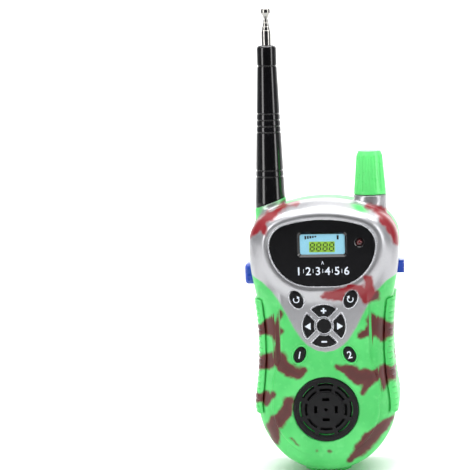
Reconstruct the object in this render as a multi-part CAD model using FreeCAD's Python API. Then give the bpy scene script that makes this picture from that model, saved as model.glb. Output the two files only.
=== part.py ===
import FreeCAD, Part
import math
import os

from FreeCAD import Vector

# Toy walkie talkie, millimetres.
# +Z runs up along the aerial, the front looks along -Y and the origin is the middle of the flat foot.
# The casing is two moulded halves that meet at y = 0.

# ---------------------------------------------------------------- driving dimensions: fits
WALL = 2.2                   # moulded wall of both halves
FIT = 0.1                    # gap between pieces that are put together and stay still
PLAY = 0.25                  # gap round a button or key in its hole
RUNNING = 0.05               # radial gap of a shaft or a telescopic tube

# ---------------------------------------------------------------- driving dimensions: body outline
FOOT_DROP = 0.9              # foot pad below the lowest point of the casing
LOBE_R = 36.7                # round lower lobe
WAIST_R = 160.0              # hollow waist
SIDE_R = 80.0                # side of the head
HEAD_FLARE = 2.6             # half width of the head beyond the lobe
HEAD_DROP = 26.0             # widest level of the head below the top
SHOULDER_R = 18.0
DOME_R = 71.0                # top of the head
FRONT_DEPTH = 21.0           # front face ahead of the joint line
REAR_DEPTH = 20.0            # rear face behind the joint line
FRONT_EDGE_R = 9.0
REAR_EDGE_R = 7.0
LIP_HEIGHT = 2.0             # tongue of the front half inside the rear half

# ---------------------------------------------------------------- driving dimensions: front face
GRILLE_R = 17.1
GRILLE_DROP = 2.1            # grille centre below the lobe centre
GRILLE_THICK = 2.0
GRILLE_PROUD = 0.6
GRILLE_SEAT = 3.0            # ledge behind the grille's edge
SLOT_WIDTH = 1.3
SLOT_COUNT = 8
LOW_KEY_RISE = 12.3          # lower oval keys above the grille's edge
RING_RISE = 15.2             # key ring above the lower oval keys
HIGH_KEY_RISE = 14.1         # upper oval keys above the key ring
PANEL_RISE = 7.0             # panel's lower edge above the upper oval keys
PANEL_HEIGHT = 34.7
TOP_MARGIN = 9.3            # top of the head above the panel
PANEL_MARGIN = 11.8          # side of the head beside the panel
PANEL_SIDE_R = 22.0
PANEL_CORNER_R = 11.0
PANEL_TOP_R = 70.0
PANEL_THICK = 1.6
PANEL_SINK = 1.2             # recess under the panel
BEZEL_WIDTH = 3.0
BEZEL_HEIGHT = 1.2
WINDOW_WIDTH = 25.9
WINDOW_HEIGHT = 13.1
WINDOW_RISE = 15.2           # lower edge of the window above the panel's lower edge
WINDOW_BEVEL = 1.2
WINDOW_CORNER_R = 1.2        # at the foot of the bevel
CARD_THICK = 0.5
LED_R = 1.5
LED_INSET = 8.15              # light in from the side of the panel
LED_RISE = 22.6              # light above the panel's lower edge

# ---------------------------------------------------------------- driving dimensions: keys
KEY_PROUD = 1.4
KEY_TRAVEL = 0.8
KEY_FLANGE = 0.6             # flange wider than the hole's key
KEY_FLANGE_THICK = 0.8
RIM_WIDTH = 0.8              # raised rim round each key
RIM_HEIGHT = 0.5
RING_OUTER_R = 10.7
RING_INNER_R = 5.7
RING_GAP = 4.1               # bar of casing between two keys of the ring
CENTRE_KEY_R = 3.4
HIGH_KEY_X = 14.1
HIGH_KEY_LONG = 9.0
HIGH_KEY_SHORT = 5.7
LOW_KEY_X = 13.1
LOW_KEY_LONG = 8.4
LOW_KEY_SHORT = 5.5
KEY_LEAN = 25.0              # degrees from upright
MEMBRANE_THICK = 0.8
MEMBRANE_MARGIN = 3.0

# ---------------------------------------------------------------- driving dimensions: electronics
BOARD_THICK = 1.6
BOARD_CORNER_R = 1.5
BOARD_STANDOFF = 4.8         # board's front face behind the front wall
BOARD_DROP = 3.0             # board's upper edge below the panel's
POST_R = 3.0
BOARD_POST_R = 2.5
SCREW_R = 1.25
SCREW_HEAD_R = 2.4
SCREW_HEAD = 1.6
TOP_SCREW_DROP = 6.5         # upper casing screw below the top of the head
SPEAKER_R = 16.5
SPEAKER_DEPTH = 5.0
MAGNET_R = 9.0
MAGNET_DEPTH = 6.0
POT_R = 6.0
POT_HEIGHT = 6.0
POT_SHAFT_R = 2.5
POT_BUSH_WALL = 0.9

# ---------------------------------------------------------------- driving dimensions: battery and door
BATTERY_WIDTH = 26.5
BATTERY_DEPTH = 17.5
BATTERY_HEIGHT = 45.5
BATTERY_RISE = 13.1          # battery above the lowest point of the casing
TERMINAL_HEIGHT = 3.0
TERMINAL_X = 6.35
TERMINAL_SMALL_R = 2.9
TERMINAL_LARGE_R = 3.9
BATTERY_CORNER_R = 2.0
SNAP_HALF = 12.5
SNAP_HALF_DEPTH = 5.5
SNAP_THICK = 2.0
BAY_WALL = 1.5
BAY_GAP = 0.3                # front of the battery to the bay
BATTERY_PLAY = 0.4           # battery to the sides of its bay
DOOR_THICK = 1.6
DOOR_LAP = 1.85              # door over the wall of the bay
TONGUE_WIDTH = 1.2
TONGUE_THICK = 0.9
DOOR_ABOVE_SNAP = 3.0
RIDGE_COUNT = 5
RIDGE_DROP = 8.0
RIDGE_PITCH = 2.2
RIDGE_HALF = 8.0

# ---------------------------------------------------------------- driving dimensions: aerial and knob
AERIAL_INSET = 10.9          # aerial axis in from the side of the head
AERIAL_BOSS_R = 8.2
BOSS_RISE = 8.0              # lower end of the boss above the foot of the outer tube
BOOT_BASE_R = 7.95
BOOT_TOP_R = 5.2
BOOT_HEIGHT = 82.7           # boot above the middle of its slanted foot
BOOT_DROP = 2.1              # middle of the slanted foot below the top of the head
BOOT_SLANT = 19.6            # degrees
BOOT_SPIGOT_R = 6.0
BOOT_SPIGOT_LENGTH = 14.0
GROOVE_R = 0.5
BOOT_GROOVES = (10.8, 35.8, 39.1, 42.3, 45.5, 65.6, 68.9)   # below the top of the boot
AERIAL_TUBE_R = 2.5
TUBE_COUNT = 4
TUBE_WALL = 0.25
TUBE_GAP = 0.15              # between the bore of one tube and the next tube
TUBE_PROUD = 7.7             # outer tube above the boot
TUBE_STEP = 2.0              # each inner tube above the one round it
FOOT_STEP = 1.5
FOOT_LENGTH = 2.0
CRIMP_LENGTH = 1.5
AERIAL_FOOT_DROP = 30.0      # lower end of the outer tube below the top of the head
TIP_R = 2.5
TIP_HEIGHT = 5.4
KNOB_INSET = 14.9            # knob axis in from the side of the head
COLLAR_R = 8.7
COLLAR_RISE = 1.4            # collar above the top of the head
COLLAR_ROOT = 22.9           # lower end of the collar below the top of the head
KNOB_GAP = 0.4
KNOB_BASE_R = 8.5
KNOB_TOP_R = 6.9
KNOB_HEIGHT = 22.6
KNOB_FLUTES = 16
NUT_WALL = 1.6
NUT_THICK = 1.8

# ---------------------------------------------------------------- driving dimensions: side controls
TALK_DROP = 39.7             # talk button's centre below the top of the head
TALK_HEIGHT = 11.0
TALK_WIDTH = 13.0
TALK_CORNER_R = 2.5
TALK_PROUD = 4.4
TALK_TRAVEL = 1.8
SLIDER_DROP = 36.9
SLIDER_HEIGHT = 6.6
SLIDER_WIDTH = 7.0
SLIDER_PROUD = 3.2
SLIDER_TRAVEL = 3.0
FLANGE_THICK = 1.2
FLANGE_LAP = 1.3
SWITCH_SIZE = 6.0
SWITCH_DEPTH = 3.2
PLUNGER_R = 1.4
SWITCH_BOARD_FRONT = -4.5
SWITCH_BOARD_REAR = 8.0
SWITCH_BOARD_BELOW = 5.5     # below the middle of the talk button
SWITCH_BOARD_ABOVE = 4.5
SWITCH_RIB_WALL = 1.4
SLIDE_SWITCH_DEPTH = 4.2
SLIDE_SWITCH_BELOW = 7.0     # below the middle of the slider
SLIDE_SWITCH_ABOVE = 4.0
LEVER_DEPTH = 1.6
SLIDER_RIBS = 5

# ---------------------------------------------------------------- driving dimensions: grips, foot, clip
GRIP_BOTTOM = 32.6
GRIP_TOP = 93.6
GRIP_EDGE = 3.6              # edges of the pad back from the front and rear faces
GRIP_BASE = 0.7
GRIP_RIB = 0.7
GRIP_PITCH = 3.1
FOOT_HALF = 12.0
FOOT_FLAT = 8.0              # half width of the part that meets the floor
FOOT_END = 1.7               # height of the pad's raised ends
FOOT_SLOTS = 6
FOOT_SLOT_WIDTH = 1.1
CLIP_HALF = 9.0
CLIP_THICK = 2.2
CLIP_TOP_DROP = 14.0         # top of the belt clip below the top of the head
CLIP_LENGTH = 50.0
CLIP_BASE_LENGTH = 17.0
CLIP_GAP = 6.5
CLIP_BEAD_R = 1.2
CLIP_BEAD_RISE = 4.0

# ---------------------------------------------------------------- levels and places worked out from them
LOBE_Z = FOOT_DROP + LOBE_R
GRILLE_Z = LOBE_Z - GRILLE_DROP
LOW_KEY_Z = GRILLE_Z + GRILLE_R + LOW_KEY_RISE
RING_Z = LOW_KEY_Z + RING_RISE
HIGH_KEY_Z = RING_Z + HIGH_KEY_RISE
PANEL_Z = HIGH_KEY_Z + PANEL_RISE
PANEL_TOP = PANEL_Z + PANEL_HEIGHT
BODY_TOP = PANEL_TOP + TOP_MARGIN
HEAD_HALF = LOBE_R + HEAD_FLARE
PANEL_HALF = HEAD_HALF - PANEL_MARGIN
LED_X = PANEL_HALF - LED_INSET
WINDOW_HALF = WINDOW_WIDTH / 2
AERIAL_X = -(HEAD_HALF - AERIAL_INSET)
KNOB_X = HEAD_HALF - KNOB_INSET
FRONT_INNER = -FRONT_DEPTH + WALL
REAR_INNER = REAR_DEPTH - WALL
BOARD_FRONT = FRONT_INNER + BOARD_STANDOFF
BOARD_REAR = BOARD_FRONT + BOARD_THICK
MID_POST_X = LOBE_R - WALL - POST_R - 2.0
MID_POST_Z = RING_Z + 7.2
BOARD_HALF = MID_POST_X - POST_R - 1.5
SPEAKER_RIB_R = SPEAKER_R + FIT + 1.5
BOARD_BOTTOM = GRILLE_Z + SPEAKER_RIB_R + 1.5
BOARD_TOP = PANEL_TOP - BOARD_DROP
BOOT_Z = BODY_TOP - BOOT_DROP
BOOT_TOP = BOOT_Z + BOOT_HEIGHT
AERIAL_FOOT = BODY_TOP - AERIAL_FOOT_DROP
BOSS_FOOT = AERIAL_FOOT + BOSS_RISE
COLLAR_TOP = BODY_TOP + COLLAR_RISE
COLLAR_FOOT = BODY_TOP - COLLAR_ROOT
BATTERY_Z = FOOT_DROP + BATTERY_RISE
BATTERY_REAR = REAR_DEPTH - DOOR_THICK - 0.5
BATTERY_FRONT = BATTERY_REAR - BATTERY_DEPTH
SNAP_Z = BATTERY_Z + BATTERY_HEIGHT + TERMINAL_HEIGHT
BAY_TOP = SNAP_Z + SNAP_THICK + 1.0
DOOR_TOP = BAY_TOP + DOOR_ABOVE_SNAP
TALK_Z = BODY_TOP - TALK_DROP
SLIDER_Z = BODY_TOP - SLIDER_DROP
CLIP_TOP = BODY_TOP - CLIP_TOP_DROP
TOP_SCREW_Z = BODY_TOP - TOP_SCREW_DROP
BAY_INNER = BATTERY_WIDTH / 2 + BATTERY_PLAY
BAY_OUTER = BAY_INNER + BAY_WALL
DOOR_HALF = BAY_OUTER + DOOR_LAP
LOW_SCREW_REACH = LOBE_R - REAR_EDGE_R - 0.2
LOW_SCREW_X = DOOR_HALF + TONGUE_WIDTH + POST_R + 0.9
LOW_SCREW_Z = LOBE_Z - math.sqrt(LOW_SCREW_REACH ** 2 - LOW_SCREW_X ** 2)
POT_BUSH_R = POT_SHAFT_R + POT_BUSH_WALL
NUT_R = POT_BUSH_R + NUT_WALL
TUBE_RADII = [AERIAL_TUBE_R - index * (TUBE_WALL + TUBE_GAP) for index in range(TUBE_COUNT)]
ROD_R = TUBE_RADII[-1] - TUBE_WALL - TUBE_GAP

NODES = {}


# ---------------------------------------------------------------- small helpers
def block(x0, x1, y0, y1, z0, z1):
    return Part.makeBox(x1 - x0, y1 - y0, z1 - z0, Vector(x0, y0, z0))


def rod_x(y, z, radius, x0, x1):
    return Part.makeCylinder(radius, x1 - x0, Vector(x0, y, z), Vector(1, 0, 0))


def rod_y(x, z, radius, y0, y1):
    return Part.makeCylinder(radius, y1 - y0, Vector(x, y0, z), Vector(0, 1, 0))


def rod_z(x, y, radius, z0, z1):
    return Part.makeCylinder(radius, z1 - z0, Vector(x, y, z0), Vector(0, 0, 1))


def joined(shapes):
    """One solid from overlapping shapes, with the seams between coplanar faces removed."""
    first = shapes[0]
    rest = shapes[1:]
    whole = first.multiFuse(rest) if rest else first
    return whole.removeSplitter()


def turned(points, place, axis):
    """Solid of revolution; points are (radius, distance along the axis)."""
    corners = [Vector(radius, 0, along) for radius, along in points]
    face = Part.Face(Part.makePolygon(corners + corners[:1]))
    shape = face.revolve(Vector(0, 0, 0), Vector(0, 0, 1), 360)
    if axis == "y":
        shape.rotate(Vector(0, 0, 0), Vector(1, 0, 0), -90)
    if axis == "x":
        shape.rotate(Vector(0, 0, 0), Vector(0, 1, 0), 90)
    shape.translate(Vector(*place))
    return shape


def rounded_block(x0, x1, y0, y1, z0, z1, radius, along):
    """Block whose four edges along one axis are rounded."""
    shape = block(x0, x1, y0, y1, z0, z1)
    direction = {"x": Vector(1, 0, 0), "y": Vector(0, 1, 0), "z": Vector(0, 0, 1)}[along]
    edges = [edge for edge in shape.Edges if abs(edge.tangentAt(0).dot(direction)) > 0.99]
    return shape.makeFillet(radius, edges)


def edges_at_y(shape, y):
    """Edges that lie wholly in the plane at y."""
    return [edge for edge in shape.Edges
            if abs(edge.BoundBox.YMin - y) < 1e-4 and abs(edge.BoundBox.YMax - y) < 1e-4]


def edges_at_z(shape, z):
    return [edge for edge in shape.Edges
            if abs(edge.BoundBox.ZMin - z) < 1e-4 and abs(edge.BoundBox.ZMax - z) < 1e-4]


def unit(a, b):
    length = math.hypot(b[0] - a[0], b[1] - a[1])
    return ((b[0] - a[0]) / length, (b[1] - a[1]) / length)


def reach(centre, direction, radius):
    return (centre[0] + radius * direction[0], centre[1] + radius * direction[1])


def meeting_point(a, a_reach, b, b_reach):
    """Point at the given distances from a and b, the one further along +X."""
    span = math.hypot(b[0] - a[0], b[1] - a[1])
    along = (a_reach ** 2 - b_reach ** 2 + span ** 2) / (2 * span)
    aside = math.sqrt(a_reach ** 2 - along ** 2)
    ux, uz = unit(a, b)
    choices = [(a[0] + along * ux - way * aside * uz, a[1] + along * uz + way * aside * ux)
               for way in (-1, 1)]
    return max(choices)


def arc_middle(centre, start, end):
    """Middle of the short arc about centre from start to end."""
    radius = math.hypot(start[0] - centre[0], start[1] - centre[1])
    towards = ((start[0] + end[0]) / 2, (start[1] + end[1]) / 2)
    return reach(centre, unit(centre, towards), radius)


def mirrored_face(start, stretches, y):
    """Face in the plane at y from its right-hand edge, which runs from start up to the centre line.

    Each stretch is (centre, end), an arc about centre, or (None, end), a straight line.
    """
    edges = []
    here = start
    for centre, end in stretches:
        a = Vector(here[0], y, here[1])
        b = Vector(end[0], y, end[1])
        if centre is None:
            edges.append(Part.LineSegment(a, b).toShape())
        else:
            middle = arc_middle(centre, here, end)
            edges.append(Part.Arc(a, Vector(middle[0], y, middle[1]), b).toShape())
        here = end
    edges += [edge.mirror(Vector(0, 0, 0), Vector(1, 0, 0)) for edge in edges]
    return Part.Face(Part.Wire(Part.__sortEdges__(edges)))


# ---------------------------------------------------------------- body outline
LOBE_C = (0.0, LOBE_Z)
SIDE_C = (HEAD_HALF - SIDE_R, BODY_TOP - HEAD_DROP)
DOME_C = (0.0, BODY_TOP - DOME_R)
WAIST_C = meeting_point(LOBE_C, LOBE_R + WAIST_R, SIDE_C, SIDE_R + WAIST_R)
SHOULDER_C = meeting_point(SIDE_C, SIDE_R - SHOULDER_R, DOME_C, DOME_R - SHOULDER_R)


def body_joints(inset):
    """Points where the arcs of the outline meet, from the lobe up to the dome."""
    return (reach(LOBE_C, unit(LOBE_C, WAIST_C), LOBE_R - inset),
            reach(SIDE_C, unit(SIDE_C, WAIST_C), SIDE_R - inset),
            reach(SIDE_C, unit(SIDE_C, SHOULDER_C), SIDE_R - inset),
            reach(DOME_C, unit(DOME_C, SHOULDER_C), DOME_R - inset))


def body_solid(inset, y0, y1):
    """Casing outline, inset from the outer surface, between two planes."""
    lobe_end, waist_end, side_end, shoulder_end = body_joints(inset)
    lobe_side = (LOBE_R - inset, LOBE_Z)
    stretches = ((LOBE_C, lobe_side), (LOBE_C, lobe_end), (WAIST_C, waist_end), (SIDE_C, side_end),
                 (SHOULDER_C, shoulder_end), (DOME_C, (0.0, BODY_TOP - inset)))
    face = mirrored_face((0.0, LOBE_Z - LOBE_R + inset), stretches, y0)
    return face.extrude(Vector(0, y1 - y0, 0))


def half_width(z, inset=0.0):
    """Distance from the centre line to the side of the casing at one level."""
    lobe_end, waist_end, side_end, shoulder_end = body_joints(inset)
    if z < lobe_end[1]:
        centre, radius, sign = LOBE_C, LOBE_R - inset, 1
    elif z < waist_end[1]:
        centre, radius, sign = WAIST_C, WAIST_R + inset, -1
    elif z < side_end[1]:
        centre, radius, sign = SIDE_C, SIDE_R - inset, 1
    else:
        centre, radius, sign = SHOULDER_C, SHOULDER_R - inset, 1
    return centre[0] + sign * math.sqrt(radius ** 2 - (z - centre[1]) ** 2)


def narrowest(z0, z1, inset):
    """Smallest half width between two levels."""
    steps = 12
    return min(half_width(z0 + (z1 - z0) * step / steps, inset) for step in range(steps + 1))


def panel_solid(inset, y0, y1):
    """Shield-shaped panel outline between two planes."""
    side_c = (PANEL_HALF - PANEL_SIDE_R, PANEL_Z + PANEL_SIDE_R)
    top_c = (0.0, PANEL_TOP - PANEL_TOP_R)
    corner_c = meeting_point(top_c, PANEL_TOP_R - PANEL_CORNER_R, side_c, PANEL_SIDE_R - PANEL_CORNER_R)
    side_end = reach(side_c, unit(side_c, corner_c), PANEL_SIDE_R - inset)
    corner_end = reach(top_c, unit(top_c, corner_c), PANEL_TOP_R - inset)
    low = PANEL_Z + inset
    stretches = ((None, (side_c[0], low)), (side_c, side_end), (corner_c, corner_end),
                 (top_c, (0.0, PANEL_TOP - inset)))
    return mirrored_face((0.0, low), stretches, y0).extrude(Vector(0, y1 - y0, 0))


# ---------------------------------------------------------------- key shapes
def oval(x, z, lean, long, short, grow, y0, y1):
    """Elliptical prism; lean is in degrees, positive with its top towards +X."""
    half_long = long / 2 + grow
    half_short = short / 2 + grow
    turn = math.radians(lean)
    centre = Vector(x, y0, z)
    tip = centre + Vector(math.sin(turn), 0, math.cos(turn)) * half_long
    side = centre + Vector(math.cos(turn), 0, -math.sin(turn)) * half_short
    edge = Part.Ellipse(tip, side, centre).toShape()
    return Part.Face(Part.Wire([edge])).extrude(Vector(0, y1 - y0, 0))


def ring_sector(angle, grow, y0, y1):
    """One key of the ring, between two bars of casing of even width; angle 0 points along +X."""
    gap = RING_GAP / 2 - grow
    outer = RING_OUTER_R + grow
    inner = RING_INNER_R - grow
    outer_half = math.radians(45) - math.asin(gap / outer)
    inner_half = math.radians(45) - math.asin(gap / inner)

    def at(radius, swing):
        turn = math.radians(angle) + swing
        return Vector(radius * math.cos(turn), y0, RING_Z + radius * math.sin(turn))

    edges = [Part.Arc(at(outer, -outer_half), at(outer, 0), at(outer, outer_half)).toShape(),
             Part.LineSegment(at(outer, outer_half), at(inner, inner_half)).toShape(),
             Part.Arc(at(inner, inner_half), at(inner, 0), at(inner, -inner_half)).toShape(),
             Part.LineSegment(at(inner, -inner_half), at(outer, -outer_half)).toShape()]
    return Part.Face(Part.Wire(edges)).extrude(Vector(0, y1 - y0, 0))


def centre_round(grow, y0, y1):
    return rod_y(0, RING_Z, CENTRE_KEY_R + grow, y0, y1)


def high_oval(side):
    return lambda grow, y0, y1: oval(side * HIGH_KEY_X, HIGH_KEY_Z, side * KEY_LEAN,
                                     HIGH_KEY_LONG, HIGH_KEY_SHORT, grow, y0, y1)


def low_oval(side):
    return lambda grow, y0, y1: oval(side * LOW_KEY_X, LOW_KEY_Z, -side * KEY_LEAN,
                                     LOW_KEY_LONG, LOW_KEY_SHORT, grow, y0, y1)


def ring_key(angle):
    return lambda grow, y0, y1: ring_sector(angle, grow, y0, y1)


RING_MIDDLE_R = (RING_OUTER_R + RING_INNER_R) / 2

# name: (prism of the key's outline, x and z of its middle)
KEYS = {
    "key_rotate_left": (high_oval(-1), (-HIGH_KEY_X, HIGH_KEY_Z)),
    "key_rotate_right": (high_oval(1), (HIGH_KEY_X, HIGH_KEY_Z)),
    "key_plus": (ring_key(90), (0, RING_Z + RING_MIDDLE_R)),
    "key_minus": (ring_key(270), (0, RING_Z - RING_MIDDLE_R)),
    "key_left": (ring_key(180), (-RING_MIDDLE_R, RING_Z)),
    "key_right": (ring_key(0), (RING_MIDDLE_R, RING_Z)),
    "key_centre": (centre_round, (0, RING_Z)),
    "key_one": (low_oval(-1), (-LOW_KEY_X, LOW_KEY_Z)),
    "key_two": (low_oval(1), (LOW_KEY_X, LOW_KEY_Z)),
}


# ---------------------------------------------------------------- fasteners
def screw(x, z, head_front, length):
    """Cross-head screw driven along -Y; its head's outer face is at head_front + SCREW_HEAD."""
    head = rod_y(x, z, SCREW_HEAD_R, head_front, head_front + SCREW_HEAD)
    shank = rod_y(x, z, SCREW_R, head_front - length, head_front)
    body = joined([head, shank])
    slot = SCREW_HEAD / 2
    top = head_front + SCREW_HEAD
    across = block(x - SCREW_HEAD_R * 0.65, x + SCREW_HEAD_R * 0.65, top - slot, top + 1, z - 0.3, z + 0.3)
    upright = block(x - 0.3, x + 0.3, top - slot, top + 1, z - SCREW_HEAD_R * 0.65, z + SCREW_HEAD_R * 0.65)
    return body.cut(across).cut(upright)


CASING_SCREWS = ((0.0, TOP_SCREW_Z), (-MID_POST_X, MID_POST_Z), (MID_POST_X, MID_POST_Z),
                 (-LOW_SCREW_X, LOW_SCREW_Z), (LOW_SCREW_X, LOW_SCREW_Z))
CASING_SCREW_SEAT = REAR_DEPTH - 4.0
CASING_SCREW_LENGTH = CASING_SCREW_SEAT + 8.0
BOARD_SCREW_X = BOARD_HALF - POST_R
BOARD_SCREWS = [(side * BOARD_SCREW_X, level) for side in (-1, 1)
                for level in (RING_Z, BOARD_TOP - POST_R)]


# ---------------------------------------------------------------- casing
def slanted_space(drop):
    """Everything above the slanted foot of the boot, lowered by drop."""
    rise = math.tan(math.radians(BOOT_SLANT))
    wide = AERIAL_BOSS_R + 6
    z = BOOT_Z - drop
    tall = BOOT_HEIGHT + 40
    corners = [Vector(AERIAL_X - wide, -30, z - wide * rise), Vector(AERIAL_X + wide, -30, z + wide * rise),
               Vector(AERIAL_X + wide, -30, z + tall), Vector(AERIAL_X - wide, -30, z + tall)]
    return Part.Face(Part.makePolygon(corners + corners[:1])).extrude(Vector(0, 60, 0))


def rounded_body(inset):
    """Body with both its faces' edges rounded, inset from the outer surface."""
    front = inset - FRONT_DEPTH
    rear = REAR_DEPTH - inset
    body = body_solid(inset, front, rear)
    body = body.makeFillet(FRONT_EDGE_R - inset, edges_at_y(body, front))
    return body.makeFillet(REAR_EDGE_R - inset, edges_at_y(body, rear))


def outer_shape():
    """Outside of both halves: rounded body, aerial boss and knob collar."""
    body = rounded_body(0)
    boss = rod_z(AERIAL_X, 0, AERIAL_BOSS_R, BOSS_FOOT, BOOT_Z + 10).cut(slanted_space(FIT))
    collar = rod_z(KNOB_X, 0, COLLAR_R, COLLAR_FOOT, COLLAR_TOP)
    collar = collar.makeFillet(0.6, edges_at_z(collar, COLLAR_TOP))
    return joined([body, boss, collar])


def inner_shape():
    """Hollow of both halves."""
    collar = rod_z(KNOB_X, 0, COLLAR_R - WALL, COLLAR_FOOT, COLLAR_TOP - WALL)
    return joined([rounded_body(WALL), collar])


OUTER = outer_shape()
INNER = inner_shape()
SHELL = OUTER.cut(INNER)
FAR = 200.0
FRONT_SIDE = block(-FAR, FAR, -FAR, 0, -FAR, FAR + FAR)
REAR_SIDE = block(-FAR, FAR, 0, FAR, -FAR, FAR + FAR)

TALK_LOW = TALK_Z - TALK_HEIGHT / 2
TALK_HIGH = TALK_Z + TALK_HEIGHT / 2
TALK_SEAT = narrowest(TALK_LOW - FLANGE_LAP, TALK_HIGH + FLANGE_LAP, WALL) - PLAY
TALK_FACE = half_width(TALK_Z) + TALK_PROUD
SLIDER_LOW = SLIDER_Z - SLIDER_HEIGHT / 2 - SLIDER_TRAVEL
SLIDER_HIGH = SLIDER_Z + SLIDER_HEIGHT / 2
SLIDER_SEAT = narrowest(SLIDER_LOW - 4, SLIDER_HIGH + SLIDER_TRAVEL + 2, WALL) - PLAY
SLIDER_FACE = half_width(SLIDER_Z) + SLIDER_PROUD


def side_holes():
    """Holes through both halves for the talk button and the slider."""
    talk = rounded_block(-FAR, -TALK_SEAT + 3, -TALK_WIDTH / 2 - PLAY, TALK_WIDTH / 2 + PLAY,
                         TALK_LOW - PLAY, TALK_HIGH + PLAY, TALK_CORNER_R + PLAY, "x")
    slider = block(SLIDER_SEAT - 3, FAR, -SLIDER_WIDTH / 2 - PLAY, SLIDER_WIDTH / 2 + PLAY,
                   SLIDER_LOW - PLAY, SLIDER_HIGH + PLAY)
    return [talk, slider]


def top_holes():
    """Bores in the aerial boss and the knob collar."""
    spigot = rod_z(AERIAL_X, 0, BOOT_SPIGOT_R + FIT, BOOT_Z - BOOT_SPIGOT_LENGTH - FIT, BODY_TOP + 20)
    tube = rod_z(AERIAL_X, 0, TUBE_RADII[0] + FIT, AERIAL_FOOT - 5, BODY_TOP)
    bush = rod_z(KNOB_X, 0, POT_BUSH_R + FIT, COLLAR_TOP - WALL - 5, COLLAR_TOP + 5)
    return [spigot, tube, bush]


def front_casing():
    shell = SHELL.common(FRONT_SIDE)
    lip = body_solid(WALL / 2 + FIT / 2, -4, LIP_HEIGHT).cut(body_solid(WALL, -4, LIP_HEIGHT))
    lip = lip.cut(rod_z(KNOB_X, 0, COLLAR_R + FIT, COLLAR_FOOT, BODY_TOP + 5))
    bezel = panel_solid(-BEZEL_WIDTH, -FRONT_DEPTH - BEZEL_HEIGHT, -FRONT_DEPTH + 1)
    bezel = bezel.makeFillet(BEZEL_HEIGHT * 0.8, edges_at_y(bezel, -FRONT_DEPTH - BEZEL_HEIGHT))
    added = [lip, bezel]
    for prism, middle in KEYS.values():
        added.append(prism(PLAY + RIM_WIDTH, -FRONT_DEPTH - RIM_HEIGHT, -FRONT_DEPTH + 1))
    posts = [rod_y(x, z, POST_R, -FRONT_DEPTH + 1, -FIT) for x, z in CASING_SCREWS]
    posts += [rod_y(x, z, BOARD_POST_R, -FRONT_DEPTH + 1, BOARD_FRONT) for x, z in BOARD_SCREWS]
    speaker_rib = rod_y(0, GRILLE_Z, SPEAKER_RIB_R, -FRONT_DEPTH + 1, FRONT_INNER + SPEAKER_DEPTH - 1)
    aerial_post = rod_y(AERIAL_X, BRACKET_SCREW_Z, POST_R, -FRONT_DEPTH + 1, BRACKET_BACK)
    backing = panel_solid(-2, -FRONT_DEPTH + 1, FRONT_INNER + 0.6)
    for piece in posts + [speaker_rib, aerial_post, backing]:
        added.append(piece.common(OUTER))
    boss_fill = rod_z(AERIAL_X, 0, AERIAL_BOSS_R - 0.2, BOSS_FOOT, BOOT_Z + 10)
    added.append(boss_fill.cut(slanted_space(FIT)).common(FRONT_SIDE).common(OUTER))
    casing = joined([shell] + added)
    cuts = side_holes() + top_holes()
    cuts.append(panel_solid(-FIT, -FRONT_DEPTH - 5, -FRONT_DEPTH - BEZEL_HEIGHT + 2 * PANEL_SINK))
    for prism, middle in KEYS.values():
        cuts.append(prism(PLAY, -FRONT_DEPTH - 5, FRONT_INNER + 5))
    grille_back = -FRONT_DEPTH - GRILLE_PROUD + GRILLE_THICK
    cuts.append(rod_y(0, GRILLE_Z, GRILLE_R + FIT, -FRONT_DEPTH - 5, grille_back))
    cuts.append(rod_y(0, GRILLE_Z, GRILLE_R - GRILLE_SEAT, -FRONT_DEPTH - 5, FRONT_INNER))
    cuts.append(rod_y(0, GRILLE_Z, SPEAKER_R + FIT, FRONT_INNER, FRONT_INNER + SPEAKER_DEPTH + 5))
    cuts.append(rod_y(LED_X, PANEL_Z + LED_RISE, LED_R + FIT, -FRONT_DEPTH - 5, FRONT_INNER + 5))
    for x, z in CASING_SCREWS:
        cuts.append(rod_y(x, z, SCREW_R, CASING_SCREW_SEAT - CASING_SCREW_LENGTH - 1, 5))
    for x, z in BOARD_SCREWS:
        cuts.append(rod_y(x, z, SCREW_R, BOARD_FRONT - 3.5, 5))
    cuts.append(rod_y(AERIAL_X, BRACKET_SCREW_Z, SCREW_R, BRACKET_BACK - 5, BRACKET_BACK + 5))
    return casing.cut(Part.makeCompound(cuts))


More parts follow.
